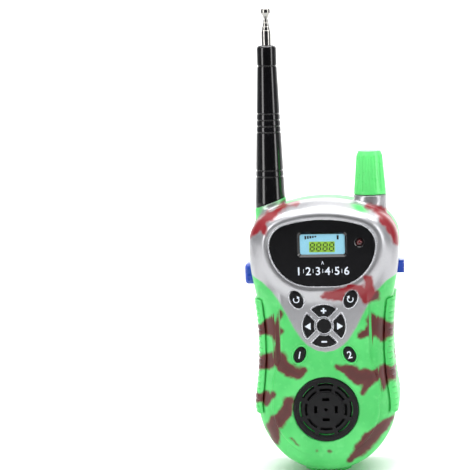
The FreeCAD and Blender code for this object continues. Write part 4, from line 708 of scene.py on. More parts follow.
# and seen through from the front onto the back
REAR_STROKES = (
    ((-34, 92.0), (-24, 84.0), 3.0, 3.6),
    ((-24, 84.0), (-19, 76.0), 3.2, 1.6),
    ((32, 108.0), (22, 98.0), 4.0, 3.0),
    ((22, 98.0), (15, 95.6), 2.6, 1.2),
    ((34, 60.0), (22, 52.0), 3.2, 4.0),
    ((22, 52.0), (9, 47.0), 3.4, 2.0),
    ((22, 51.0), (19, 42.0), 2.4, 1.0),
    ((-37, 46.0), (-25, 38.0), 2.6, 3.6),
    ((-25, 38.0), (-12, 29.0), 3.6, 2.6),
    ((-12, 29.0), (-7, 18.0), 2.4, 1.2),
    ((16, 26.0), (28, 19.0), 2.6, 3.4),
    ((-20, 128.0), (-32, 119.0), 2.6, 3.8),
    ((8, 139.0), (19, 131.0), 1.6, 2.8),
    ((40, 86.0), (34, 78.0), 2.4, 3.2),
    ((-14, 108.0), (-20, 101.0), 2.0, 3.0),
    ((-20, 101.0), (-16, 96.0), 2.6, 1.2),
)
# strokes on the pieces that keep their designed shape: battery door and belt clip
CLIP_RISE = 8.7              # outer face of the belt clip behind the rear casing


def at_depth(strokes, y):
    """The same strokes as points in space at one depth."""
    return tuple(((sx, y, sz), (ex, y, ez), first, last) for (sx, sz), (ex, ez), first, last in strokes)


DOOR_STROKES = at_depth([REAR_STROKES[index] for index in (5, 6, 8, 9, 10)], REAR_DEPTH)
CLIP_STROKES = at_depth((
    ((-10, 122.0), (-1, 116.0), 2.4, 3.0),
    ((-1, 116.0), (4, 108.0), 2.6, 1.2),
    ((10, 100.0), (3, 93.0), 2.6, 2.0),
    ((3, 93.0), (-4, 91.0), 2.0, 0.9)), rear_high.y + CLIP_RISE)


def wander(x, y, z):
    """Smooth pseudo-random offsets of a place, for uneven paint edges."""
    u = (0.9 * np.sin(0.41 * x + 1.3) * np.cos(0.37 * z + 0.4)
         + 0.5 * np.sin(0.83 * z - 0.61 * x + 0.29 * y + 2.1)
         + 0.22 * np.sin(1.9 * x + 1.4 * z + 0.7))
    w = (0.9 * np.cos(0.44 * x - 0.8) * np.sin(0.35 * z + 1.9)
         + 0.5 * np.sin(0.77 * x + 0.66 * z - 0.33 * y + 0.3)
         + 0.22 * np.sin(1.7 * z - 1.6 * x + 2.9))
    return 0.62 * u, 0.62 * w


def strokes_field(x, z, strokes, blend=1.0):
    """Signed distance to a set of tapered strokes."""
    result = np.full(x.shape, 50.0)
    for (sx, sz), (ex, ez), first, last in strokes:
        rx, rz = ex - sx, ez - sz
        along = np.clip(((x - sx) * rx + (z - sz) * rz) / (rx * rx + rz * rz), 0, 1)
        away = np.hypot(x - sx - rx * along, z - sz - rz * along) - (first + (last - first) * along)
        result = smooth_min(result, away, blend)
    return result


FRONT_SPREAD = 1.025         # the strokes' layout is this much wider than the face


def front_rise(z):
    """How far the face lies above the strokes' layout, mm."""
    return 3.5 - 1.6 * smooth_step(104.0, 126.0, z)


def wine_field(x, y, z):
    """Distance to the maroon paint; front strokes fade out behind the joint line and rear ones before it."""
    dx, dz = wander(x, y, z)
    u, w = x + dx, z + dz
    front = strokes_field(u * FRONT_SPREAD, w - front_rise(z), BODY_STROKES) + 0.45 * np.maximum(y + 3.0, 0)
    rear = strokes_field(u, w, REAR_STROKES) + 0.6 * np.maximum(4.0 - y, 0)
    return smooth_min(front, rear, 1.0)


SILVER_LEVELS = (62.6, 63.2, 64.3, 66.5, 69.3, 75.3, 84.0, 88.5, 95.0, 100.0, 102.0, 106.0)
SILVER_WIDTHS = (0.0, 4.0, 6.5, 9.9, 12.6, 16.7, 21.3, 23.9, 28.2, 33.5, 37.5, 46.0)


def silver_field(x, y, z):
    """How far inside the silver a place is: a V down the face, thinning out towards the joint line."""
    level = z - front_rise(z)
    half = np.interp(level, SILVER_LEVELS, SILVER_WIDTHS) / FRONT_SPREAD
    inside = np.minimum((half - np.abs(x - 0.5)) * 0.86, level - SILVER_LEVELS[0])
    low_left = smooth_step(136.0, 104.0, z)
    limit = np.where(x < 0, 1.2 + (5.8 + 5.5 * low_left) * smooth_step(-12.0, -26.0, x), 0.6)
    depth = (-y - limit) * 0.45
    knob_shadow = np.hypot((x - 19.5) / 2.6, z - 141.0 + 0.35 * (x - 19.5)) - 1.3
    top = np.where((z > 138) & (y < -5), knob_shadow, 9.0)
    return np.minimum(np.minimum(inside, depth), top)


def stroke_group():
    """Shared group: distance from a point to a tapered stroke."""
    tree = bpy.data.node_groups.new("stroke", "ShaderNodeTree")
    face = tree.interface
    for name, kind in (("Point", "Vector"), ("Start", "Vector"), ("Run", "Vector"), ("Share", "Vector"),
                       ("Radius", "Float"), ("Widening", "Float"), ("Nearest", "Float")):
        face.new_socket(name, in_out="INPUT", socket_type="NodeSocket" + kind)
    face.new_socket("Nearest", in_out="OUTPUT", socket_type="NodeSocketFloat")
    graph = Graph(tree)
    given = tree.nodes.new("NodeGroupInput").outputs
    offset = graph.vector("SUBTRACT", given["Point"], given["Start"])
    along = graph.vector("DOT_PRODUCT", offset, given["Share"], output=1)
    along = graph.math("MULTIPLY", along, 1.0, clamp=True)
    foot = graph.scaled(given["Run"], along)
    gap = graph.vector("SUBTRACT", offset, foot)
    length = graph.node("ShaderNodeVectorMath", {0: gap}, operation="LENGTH").outputs[1]
    radius = graph.math("MULTIPLY_ADD", given["Widening"], along, given["Radius"])
    away = graph.math("SUBTRACT", length, radius)
    nearest = graph.math("SMOOTH_MIN", away, given["Nearest"], 1.1)
    result = tree.nodes.new("NodeGroupOutput")
    tree.links.new(nearest, result.inputs[0])
    return tree


def stroke_distance(graph, where, strokes, group):
    """Distance to the nearest of the strokes, blended where they meet."""
    nearest = 50.0
    for start, end, first, last in strokes:
        run = Vector(end) - Vector(start)
        made = graph.node("ShaderNodeGroup", node_tree=group)
        values = {"Point": where, "Start": start, "Run": tuple(run),
                  "Share": tuple(run / run.length_squared),
                  "Radius": first, "Widening": last - first, "Nearest": nearest}
        for key, value in values.items():
            graph.feed(made.inputs[key], value)
        nearest = made.outputs[0]
    return nearest


STROKE = stroke_group()


def wine_shade(graph, distance, wobble):
    """Share of the maroon paint: dense inside, airbrushed at its edge."""
    uneven = graph.math("MULTIPLY_ADD", wobble, 1.0, distance)
    share = graph.remap(uneven, 1.5, -0.5)
    return graph.math("MULTIPLY", share, 0.99)


def painted_plastic(name, strokes=None, silver=False, soft=False):
    """Green moulding with sprayed maroon, and silver where asked for."""
    material, graph, shader = new_material(name)
    where = place_mm(graph)
    grainy = graph.noise(where, 0.9, 4.0, 0.6)
    wobble = graph.math("SUBTRACT", grainy, 0.5)
    if strokes:
        ripple = graph.vector("SUBTRACT", graph.noise(where, 0.16, 2.0, output=1), (0.5, 0.5, 0.5))
        bent = graph.vector("ADD", where, graph.scaled(ripple, 3.2))
        distance = stroke_distance(graph, bent, strokes, STROKE)
    else:
        distance = graph.node("ShaderNodeAttribute", attribute_name="wine").outputs["Fac"]
    maroon = wine_shade(graph, distance, wobble)
    slow = graph.noise(where, 0.045, 3.0)
    base = graph.mix(graph.remap(slow, 0.32, 0.68), GREEN_DEEP, GREEN)
    cloud = graph.noise(where, 0.3, 3.0)
    base = graph.mix(graph.remap(cloud, 0.5, 0.8, 0.0, 0.3), base, GREEN_LIGHT)
    rough = graph.remap(cloud, 0.3, 0.7, 0.34, 0.44)
    wine = graph.mix(graph.remap(distance, -0.4, -2.6), MAROON_EDGE, MAROON)
    metal = 0.0
    if silver:
        inside = graph.node("ShaderNodeAttribute", attribute_name="silver").outputs["Fac"]
        inside = graph.math("MULTIPLY_ADD", wobble, 0.7, inside)
        share = graph.remap(inside, -0.75, 0.95)
        flake = graph.noise(where, 7.0, 1.0)
        shade = graph.mix(graph.remap(flake, 0.35, 0.65), SILVER_DEEP, SILVER)
        base = graph.mix(share, base, shade)
        wine = graph.mix(share, wine, MAROON_BRIGHT)
        bare = graph.math("SUBTRACT", 1.0, maroon)
        metal = graph.math("MULTIPLY", graph.math("MULTIPLY", share, 0.72), bare)
        rough = graph.mix(share, rough, graph.remap(flake, 0.3, 0.7, 0.28, 0.36))
    graph.feed(shader.inputs["Base Color"], graph.mix(maroon, base, wine))
    graph.feed(shader.inputs["Roughness"], rough)
    graph.feed(shader.inputs["Metallic"], metal)
    fine = graph.noise(where, 2.6, 2.0)
    height = graph.math("MULTIPLY_ADD", maroon, 0.6, fine)
    add_bump(graph, shader, height, 0.35 if soft else 0.12, 0.03)
    shader.inputs["Coat Weight"].default_value = 0.0 if soft else 0.2
    shader.inputs["Coat Roughness"].default_value = 0.22
    return material


def chrome(name, colour, rough, length_scratches=True):
    material, graph, shader = new_material(name)
    where = place_mm(graph)
    stretch = (6.0, 6.0, 0.25) if length_scratches else (4.0, 4.0, 4.0)
    streak = graph.noise(graph.vector("MULTIPLY", where, stretch), 1.0, 3.0)
    graph.feed(shader.inputs["Roughness"], graph.remap(streak, 0.3, 0.75, rough * 0.6, rough * 1.7))
    tarnish = graph.noise(where, 0.3, 3.0)
    dull = tuple(c * 0.86 for c in colour[:3]) + (1.0,)
    graph.feed(shader.inputs["Base Color"], graph.mix(graph.remap(tarnish, 0.45, 0.8), colour, dull))
    add_bump(graph, shader, streak, 0.08, 0.01)
    shader.inputs["Metallic"].default_value = 1.0
    return material


def board_material():
    """Solder resist with copper tracks showing through it."""
    material, graph, shader = new_material("board_resist")
    where = place_mm(graph)
    cells = graph.node("ShaderNodeTexVoronoi", {"Vector": where, "Scale": 0.28}, feature="DISTANCE_TO_EDGE",
                       distance="MANHATTAN")
    track = graph.remap(cells.outputs[0], 0.10, 0.05)
    graph.feed(shader.inputs["Base Color"], graph.mix(track, rgb(10, 74, 44), rgb(34, 112, 64)))
    graph.feed(shader.inputs["Roughness"], graph.remap(graph.noise(where, 0.5), 0.3, 0.7, 0.3, 0.42))
    add_bump(graph, shader, track, 0.4, 0.04)
    return material


def card_material():
    """Pale printed card: a flat blue ink with paper tooth."""
    material, graph, shader = new_material("card_print")
    where = place_mm(graph)
    tooth = graph.noise(where, 5.0, 3.0)
    graph.feed(shader.inputs["Base Color"], graph.mix(graph.remap(tooth, 0.35, 0.65), rgb(140, 203, 226),
                                                      rgb(154, 213, 233)))
    graph.feed(shader.inputs["Roughness"], graph.remap(tooth, 0.3, 0.7, 0.38, 0.5))
    add_bump(graph, shader, tooth, 0.1, 0.02)
    return material


# ---------------------------------------------------------------- materials
PAINT_FRONT = painted_plastic("casing_paint_front", silver=True)
PAINT_REAR = painted_plastic("casing_paint_rear")
PAINT_SOFT = painted_plastic("grip_paint", soft=True)
PAINT_DOOR = painted_plastic("door_paint", strokes=DOOR_STROKES)
PAINT_CLIP = painted_plastic("clip_paint", strokes=CLIP_STROKES)
PLAIN_SOFT = painted_plastic("foot_green", strokes=(((60, 0, 0), (61, 0, 0), 1, 1),), soft=True)
SILVER_TRIM = plastic("silver_trim", rgb(205, 206, 210), 0.26, tone=0.04, grain=0.1, metal=0.8,
                      grain_scale=6.0)
GREEN_TRIM = plastic("green_trim", GREEN, 0.3, tone=0.06, grain=0.1)
BLACK_GLOSS = plastic("panel_black", rgb(8, 8, 10), 0.12, tone=0.3, grain=0.05, coat=0.2, scratches=0.25)
BOOT_BLACK = plastic("boot_black", rgb(8, 8, 10), 0.15, tone=0.3, grain=0.12, coat=0.3, scratches=0.2)
KEY_BLACK = plastic("key_black", rgb(11, 11, 13), 0.42, tone=0.2, grain=0.3, grain_scale=4.0, shine=0.25)
GRILLE_BLACK = plastic("grille_black", rgb(6, 6, 8), 0.34, tone=0.25, grain=0.25, grain_scale=3.0,
                       shine=0.25)
KNOB_GREEN = plastic("knob_green", rgb(104, 240, 128), 0.32, tone=0.06, grain=0.12)
BLUE = plastic("control_blue", rgb(38, 74, 186), 0.3, tone=0.1, grain=0.12, coat=0.2)
CHROME = chrome("aerial_chrome", rgb(168, 166, 162), 0.14)
STEEL = chrome("zinc_steel", rgb(168, 170, 174), 0.24, False)
BRASS = chrome("bare_brass", rgb(196, 166, 96), 0.26, False)
CARD = card_material()
LCD_GREEN = plastic("lcd_green", rgb(150, 200, 66), 0.34, tone=0.05, grain=0.05)
INK_BLACK = plastic("ink_black", rgb(18, 20, 18), 0.4, tone=0.2, grain=0.05)
INK_WHITE = plastic("ink_white", rgb(226, 234, 244), 0.45, tone=0.04, grain=0.2, grain_scale=5.0)
BOARD = board_material()
PAPER = plastic("cone_paper", rgb(38, 36, 36), 0.9, tone=0.3, grain=0.9, grain_scale=1.4)
FERRITE = plastic("ferrite", rgb(58, 58, 60), 0.7, tone=0.2, grain=0.6)
SILICONE = plastic("silicone", rgb(150, 152, 156), 0.55, tone=0.08, grain=0.3)
RESIN = plastic("resin_black", rgb(26, 26, 28), 0.5, tone=0.3, grain=0.4)
WRAP = plastic("battery_wrap", rgb(30, 34, 46), 0.35, tone=0.3, grain=0.1, coat=0.3)


def led_material():
    material, graph, shader = new_material("led_red")
    where = place_mm(graph)
    swirl = graph.noise(where, 0.9, 2.0)
    graph.feed(shader.inputs["Base Color"], graph.mix(graph.remap(swirl, 0.35, 0.65), rgb(58, 8, 10),
                                                      rgb(104, 16, 20)))
    graph.feed(shader.inputs["Roughness"], graph.remap(swirl, 0.3, 0.7, 0.08, 0.16))
    shader.inputs["Coat Weight"].default_value = 0.6
    return material


LED_RED = led_material()

NODE_MATERIALS = {
    "rear_casing": PAINT_REAR, "battery_door": PAINT_DOOR, "belt_clip": PAINT_CLIP,
    "left_grip": PAINT_SOFT, "right_grip": PAINT_SOFT, "foot_pad": PLAIN_SOFT,
    "front_casing": PAINT_FRONT, "display_panel": BLACK_GLOSS, "display_card": CARD, "status_led": LED_RED,
    "keypad_membrane": SILICONE, "main_board": BOARD, "switch_board": BOARD, "board_components": RESIN,
    "board_screws": STEEL, "speaker_grille": GRILLE_BLACK, "speaker_frame": STEEL, "speaker_cone": PAPER,
    "speaker_magnet": FERRITE, "antenna_boot": BOOT_BLACK, "antenna_base": BRASS, "antenna_bracket": BRASS,
    "antenna_screws": STEEL, "volume_knob": KNOB_GREEN, "pot_body": STEEL, "pot_shaft": STEEL,
    "pot_nut": STEEL, "talk_button": BLUE, "power_slider": BLUE, "talk_plunger": RESIN, "talk_switch": RESIN,
    "slide_switch": STEEL, "battery": WRAP, "battery_snap": RESIN, "clip_screw": STEEL,
    "casing_screws": STEEL, "antenna_rod": CHROME, "antenna_tip": CHROME,
}


def dress(piece, material):
    piece.data.materials.clear()
    piece.data.materials.append(material)


def dress_nodes():
    for name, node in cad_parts.items():
        material = NODE_MATERIALS.get(name)
        if name.startswith("key_"):
            material = KEY_BLACK
        if name.startswith("antenna_tube"):
            material = CHROME
        dress(node, material or RESIN)
        node.data.shade_smooth()
        node.data.set_sharp_from_angle(angle=math.radians(32))


# ---------------------------------------------------------------- front casing piece
def paint_attributes(piece, silver=False):
    """Stores how deep each vertex lies in the sprayed paints."""
    mesh = piece.data
    flat = np.empty(len(mesh.vertices) * 3)
    mesh.vertices.foreach_get("co", flat)
    x, y, z = flat.reshape(-1, 3).T / MM
    fields = {"wine": np.clip(wine_field(x, y, z), -4, 4)}
    if silver:
        fields["silver"] = np.clip(silver_field(x, y, z), -4, 4)
    for name, values in fields.items():
        attribute = mesh.attributes.new(name, "FLOAT", "POINT")
        attribute.data.foreach_set("value", values.astype(np.float32))


def sculpted(name, field, low, high, pitch, node, material, keep=None, ratio=1.0, silver=False):
    """Piece made from a distance field, painted, standing in for one node of the body."""
    points, quads = surface_net(field, low, high, pitch * (1))
    piece = mesh_object(name, points, quads)
    if keep is not None:
        thin_out(piece, keep(*points.T), ratio)
    paint_attributes(piece, silver)
    dress(piece, material)
    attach(piece, "body")
    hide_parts(node)
    print(name, len(piece.data.polygons), "faces")


def near_front_openings(x, y, z):
    return (body_field(x, y, z) > -1.0) | ((y < -17.0) & (front_holes(x, y, z) < 0.6))


def near_rear_surface(x, y, z):
    return body_field(x, y, z) > -1.9


def build_casing():
    wide, tall = HEAD_HALF + 1.5, BODY_TOP + 3.5
    low = LOBE_BOTTOM - 1.5
    sculpted("front_shell", front_field, (-wide, -FRONT_DEPTH - 3.5, low), (wide, 0.8, tall), 0.46,
             "front_casing", PAINT_FRONT, near_front_openings, 0.55, silver=True)
    sculpted("rear_shell", rear_field, (-wide, -0.8, low), (wide, REAR_DEPTH + 1.5, tall), 0.5,
             "rear_casing", PAINT_REAR, near_rear_surface, 0.5)


def build_grips():
    low = (grip_low.x - 2, grip_low.y - 1, grip_low.z - 1)
    high = (grip_high.x + 1, grip_high.y + 1, grip_high.z + 1)
    sculpted("grip_right", grip_field, low, high, 0.36, "right_grip", PAINT_SOFT)
    low, high = (-high[0], low[1], low[2]), (-low[0], high[1], high[2])
    sculpted("grip_left", grip_field, low, high, 0.36, "left_grip", PAINT_SOFT)


# ---------------------------------------------------------------- swept rims
def loop_with_normals(points, fan=5):
    """Closed outline with outward normals; sharp convex corners become small fans."""
    points = [Vector(p) for p in points]
    result = []
    total = len(points)
    for index, here in enumerate(points):
        before = (here - points[index - 1]).normalized()
        after = (points[(index + 1) % total] - here).normalized()
        n0 = Vector((before.y, -before.x))
        n1 = Vector((after.y, -after.x))
        turn = math.atan2(n0.x * n1.y - n0.y * n1.x, n0.dot(n1))
        if turn > math.radians(25):
            for step in range(fan + 1):
                swing = turn * step / fan
                c, s = math.cos(swing), math.sin(swing)
                result.append((here, Vector((n0.x * c - n0.y * s, n0.x * s + n0.y * c))))
        else:
            result.append((here, (n0 + n1).normalized()))
    return result


def sweep(name, outline, profile, material):
    """Closed ring whose section is (outward, height above y = 0 towards the front)."""
    loop = loop_with_normals(outline)
    points = []
    for place, normal in loop:
        for outward, height in profile:
            at = place + normal * outward
            points.append((at.x, -height, at.y))
    rows, columns = len(loop), len(profile)
    faces = []
    for row in range(rows):
        for column in range(columns):
            a = row * columns + column
            b = row * columns + (column + 1) % columns
            c = ((row + 1) % rows) * columns + (column + 1) % columns
            d = ((row + 1) % rows) * columns + column
            faces.append((a, b, c, d))
    piece = mesh_object(name, points, np.array(faces))
    piece.data.set_sharp_from_angle(angle=math.radians(50))
    dress(piece, material)
    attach(piece, "body")
    return piece


def arc_points(centre, radius, start, end, count):
    return [(centre[0] + radius * math.cos(start + (end - start) * i / (count - 1)),
             centre[1] + radius * math.sin(start + (end - start) * i / (count - 1))) for i in range(count)]


def oval_points(name, grow, count=72):
    cx, cz, lean, long, short = OVALS[name]
    points = []
    for index in range(count):
        turn = 2 * math.pi * index / count
        u, v = (long + grow) * math.cos(turn), (short + grow) * math.sin(turn)
        points.append((cx + u * math.sin(lean) - v * math.cos(lean),
                       cz + u * math.cos(lean) + v * math.sin(lean)))
    return points


def sector_points(angle, grow):
    gap = RING_GAP / 2 - grow
    outer, inner = RING_OUTER_R + grow, RING_INNER_R - grow
    outer_half = math.pi / 4 - math.asin(gap / outer)
    inner_half = math.pi / 4 - math.asin(gap / inner)
    centre = (0.0, RING_Z)
    return (arc_points(centre, outer, angle - outer_half, angle + outer_half, 25)
            + arc_points(centre, inner, angle + inner_half, angle - inner_half, 13))


def counter_clockwise(points):
    area = sum(a[0] * b[1] - b[0] * a[1] for a, b in zip(points, points[1:] + points[:1]))
    return points if area > 0 else points[::-1]


def rim_profile(surface):
    """Section of a key's rim over a surface that stands at the given height."""
    return [(0.0, surface - 2.0), (0.0, surface + 0.28), (0.06, surface + 0.42), (0.18, surface + 0.52),
            (0.38, surface + 0.56), (0.58, surface + 0.48), (0.78, surface + 0.26), (1.0, surface - 0.12),
            (0.55, surface - 0.5), (0.42, surface - 2.0)]


def face_height(x, z):
    """How far the painted face stands in front of the joint line at one place."""
    return FRONT_DEPTH - FRONT_CROWN * (x / 30.0) ** 2 + float(face_relief(np.float64(x), np.float64(z)))


def build_rims():
    for name in OVALS:
        cx, cz = OVALS[name][:2]
        outline = counter_clockwise(oval_points(name, KEY_PLAY))
        silver = cz > RING_Z
        sweep("rim_" + name, outline, rim_profile(face_height(cx, cz)),
              SILVER_TRIM if silver else GREEN_TRIM)
    for index, name in enumerate(("key_right", "key_plus", "key_left", "key_minus")):
        outline = counter_clockwise(sector_points(index * math.pi / 2, KEY_PLAY))
        sweep("rim_" + name, outline, rim_profile(face_height(0, RING_Z)), SILVER_TRIM)
    centre = arc_points((0, RING_Z), CENTRE_KEY_R + KEY_PLAY, 0, 2 * math.pi, 65)[:-1]
    sweep("rim_key_centre", centre, rim_profile(face_height(0, RING_Z)), SILVER_TRIM)


def panel_points(grow):
    """Panel outline, counter-clockwise, grown outwards."""
    def turn(centre, point):
        return math.atan2(point[1] - centre[1], point[0] - centre[0])
    side_start = -math.pi / 2
    side_end = turn(PANEL_SIDE_C, PANEL_CORNER_C)
    corner_end = turn(PANEL_TOP_C, PANEL_CORNER_C)
    right = arc_points(PANEL_SIDE_C, PANEL_SIDE_R + grow, side_start, side_end, 40)
    right += arc_points(PANEL_CORNER_C, PANEL_CORNER_R + grow, side_end, corner_end, 20)[1:]
    right += arc_points(PANEL_TOP_C, PANEL_TOP_R + grow, corner_end, math.pi / 2, 40)[1:]
    left = [(-x, z) for x, z in reversed(right[:-1])]
    return right + left


def build_panel_bead():
    edge = FRONT_DEPTH + 1.25
    profile = [(0.0, -panel_high.y + 0.05), (0.0, edge - 0.1), (0.08, edge + 0.16), (0.26, edge + 0.3),
               (0.5, edge + 0.28), (0.72, edge + 0.1), (0.95, edge - 0.4), (0.4, edge - 0.8),
               (0.3, -panel_high.y + 0.05)]
    sweep("panel_bead", panel_points(0.1), profile, SILVER_TRIM)


# ---------------------------------------------------------------- printed marks
def plate(name, outlines, front, thick, material, body):
    """Flat ink or card shapes, each outline a closed polygon seen from the front."""
    points, faces = [], []
    for outline in outlines:
        outline = counter_clockwise(list(outline))
        base, count = len(points), len(outline)
        points += [(x, front, z) for x, z in outline] + [(x, front + thick, z) for x, z in outline]
        faces.append([base + i for i in range(count)])
        faces.append([base + count + i for i in reversed(range(count))])
        for i in range(count):
            j = (i + 1) % count
            faces.append([base + j, base + i, base + count + i, base + count + j])
    piece = mesh_object(name, points, faces, smooth=False)
    dress(piece, material)
    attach(piece, body)
    return piece


def ink_text(name, text, place, size, lean, front, material, body):
    """Generic sign from the built-in face, as a thin solid."""
    curve = bpy.data.curves.new(name, "FONT")
    curve.body = text
    curve.align_x = "CENTER"
    curve.align_y = "CENTER"
    curve.size = size * MM
    curve.extrude = 0.03 * MM
    curve.offset = 0.012 * size * MM
    holder = bpy.data.objects.new(name + "_curve", curve)
    bpy.context.scene.collection.objects.link(holder)
    bpy.context.view_layer.update()
    mesh = bpy.data.meshes.new_from_object(holder)
    bpy.data.objects.remove(holder)
    count = len(mesh.vertices)
    flat = np.empty(count * 3)
    mesh.vertices.foreach_get("co", flat)
    flat = flat.reshape(-1, 3) / MM
    centre = (flat.min(0) + flat.max(0)) / 2
    u, v, w = (flat - centre).T
    c, s = math.cos(lean), math.sin(lean)
    moved = np.stack([place[0] + u * c + v * s, front - w, place[1] - u * s + v * c], 1)
    mesh.vertices.foreach_set("co", (moved * MM).ravel())
    mesh.update()
    piece = bpy.data.objects.new(name, mesh)
    bpy.context.scene.collection.objects.link(piece)
    mesh.name = name
    dress(piece, material)
    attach(piece, body)
    return piece


def rounded_plate(x0, x1, z0, z1, radius, count=7):
    points = []
    for cx, cz, start in ((x1 - radius, z1 - radius, 0), (x0 + radius, z1 - radius, 90),
                          (x0 + radius, z0 + radius, 180), (x1 - radius, z0 + radius, 270)):
        points += arc_points((cx, cz), radius, math.radians(start), math.radians(start + 90), count)
    return points


def band(points, half):
    """Outline of a stroke of even width along open points."""
    left, right = [], []
    for index, point in enumerate(points):
        before = points[max(index - 1, 0)]
        after = points[min(index + 1, len(points) - 1)]
        direction = unit(before, after)
        left.append((point[0] - direction[1] * half, point[1] + direction[0] * half))
        right.append((point[0] + direction[1] * half, point[1] - direction[0] * half))
    return left + right[::-1]


def arrow_arc(centre, radius, start, end, half, tip):
    """Open circular arrow: a band and its triangular head."""
    points = arc_points(centre, radius, start, end, 20)
    direction = unit(points[-2], points[-1])
    across = (-direction[1], direction[0])
    last = points[-1]
    head = [(last[0] + across[0] * tip, last[1] + across[1] * tip),
            (last[0] - across[0] * tip, last[1] - across[1] * tip),
            (last[0] + direction[0] * tip * 1.5, last[1] + direction[1] * tip * 1.5)]
    return [band(points, half), head]


INK = 0.03


def cap_front(name):
    return box_mm(name)[0].y - INK


def build_key_prints():
    middle = (RING_OUTER_R + RING_INNER_R) / 2
    sign = 2.9
    front = cap_front("key_plus")
    bar = 0.42
    cz = RING_Z + middle
    plus = [rounded_plate(-sign / 2, sign / 2, cz - bar, cz + bar, 0.1),
            rounded_plate(-bar, bar, cz + bar, cz + sign / 2, 0.1),
            rounded_plate(-bar, bar, cz - sign / 2, cz - bar, 0.1)]
    plate("print_plus", plus, front, 0.06, INK_WHITE, "key_plus")
    cz = RING_Z - middle
    plate("print_minus", [rounded_plate(-sign / 2, sign / 2, cz - bar, cz + bar, 0.1)], front, 0.06,
          INK_WHITE, "key_minus")
    for side, body in ((-1, "key_left"), (1, "key_right")):
        tip = side * (middle + 1.8)
        back = side * (middle - 1.3)
        plate("print_" + body[4:], [[(tip, RING_Z), (back, RING_Z + 1.9), (back, RING_Z - 1.9)]],
              front, 0.06,
              INK_WHITE, body)
    for name, text in (("key_one", "1"), ("key_two", "2")):
        cx, cz, lean = OVALS[name][:3]
        ink_text("print_" + name[4:], text, (cx, cz), 5.4, lean * 0.45, cap_front(name), INK_WHITE, name)
    for name, way in (("key_rotate_left", 1), ("key_rotate_right", -1)):
        cx, cz, lean = OVALS[name][:3]
        start = math.pi / 2 - way * math.radians(-55)
        shapes = arrow_arc((cx, cz), 1.45, start, start + way * math.radians(255), 0.26, 0.85)
        plate("print_" + name[4:], shapes, cap_front(name), 0.06, INK_WHITE, name)


# seven-segment figures: which of the bars a to g are lit
SEGMENTS = {"8": "abcdefg"}


def segment_bars(cx, cz, wide, tall, bar):
    """Bars of one figure, slightly slanted, by letter."""
    half_w, half_h, gap = wide / 2, tall / 2, bar * 0.32

    def level(z):
        return [(cx - half_w + gap + bar / 2, z + bar / 2), (cx - half_w + gap, z),
                (cx - half_w + gap + bar / 2, z - bar / 2), (cx + half_w - gap - bar / 2, z - bar / 2),
                (cx + half_w - gap, z), (cx + half_w - gap - bar / 2, z + bar / 2)]

    def upright(x, low):
        high = low + half_h
        return [(x - bar / 2, low + gap + bar / 2), (x, low + gap), (x + bar / 2, low + gap + bar / 2),
                (x + bar / 2, high - gap - bar / 2), (x, high - gap), (x - bar / 2, high - gap - bar / 2)]

    return {"a": level(cz + half_h), "g": level(cz), "d": level(cz - half_h),
            "f": upright(cx - half_w, cz), "e": upright(cx - half_w, cz - half_h),
            "b": upright(cx + half_w, cz), "c": upright(cx + half_w, cz - half_h)}


def build_display():
    mid_z = (card_low.z + card_high.z) / 2
    front = card_low.y
    field_z = mid_z - 1.35
    field = rounded_plate(-6.9, 6.5, field_z - 2.8, field_z + 2.8, 0.35)
    plate("lcd_field", [field], front - 0.05, 0.05, LCD_GREEN, "body")
    bars = []
    slant = 0.09
    for index in range(4):
        cx = -5.2 + index * 3.35
        for letter, outline in segment_bars(cx, field_z, 2.0, 4.1, 0.58).items():
            if letter in SEGMENTS["8"]:
                bars.append([(x + (z - field_z) * slant, z) for x, z in outline])
    plate("lcd_figures", bars, front - 0.09, 0.04, INK_BLACK, "body")
    ticks = []
    for index in range(5):
        cx = -8.7 + index * 1.3
        tall = 1.8 - 0.25 * index
        ticks.append(rounded_plate(cx - 0.45, cx + 0.45, card_high.z - 0.75 - tall, card_high.z - 0.75,
                                   0.12, 3))
    cx = 8.1
    ticks.append(rounded_plate(cx - 0.5, cx + 0.5, card_high.z - 2.8, card_high.z - 0.6, 0.15, 3))
    plate("lcd_icons", ticks, front - 0.05, 0.05, INK_BLACK, "body")


def build_panel_scale():
    """Generic dial scale under the window: small figures, ticks and a pointer."""
    count = 6
    pitch = 5.0
    level = PANEL_Z + 7.9
    front = PANEL_FRONT - INK
    marks = []
    for index in range(count):
        cx = (index - (count - 1) / 2) * pitch
        ink_text("scale_%d" % (index + 1), str(index + 1), (cx, level), 5.9, 0.0, front, INK_WHITE, "body")
        if index < count - 1:
            middle = cx + pitch / 2
            marks.append(rounded_plate(middle - 0.13, middle + 0.13, level - 1.0, level + 1.0, 0.05, 3))
    marks.append([(-0.75, level + 3.5), (-0.35, level + 3.5), (0.0, level + 4.6), (0.0, level + 5.3)])
    marks.append([(0.75, level + 3.5), (0.35, level + 3.5), (0.0, level + 4.6), (0.0, level + 5.3)])
    plate("scale_marks", marks, front, 0.06, INK_WHITE, "body")


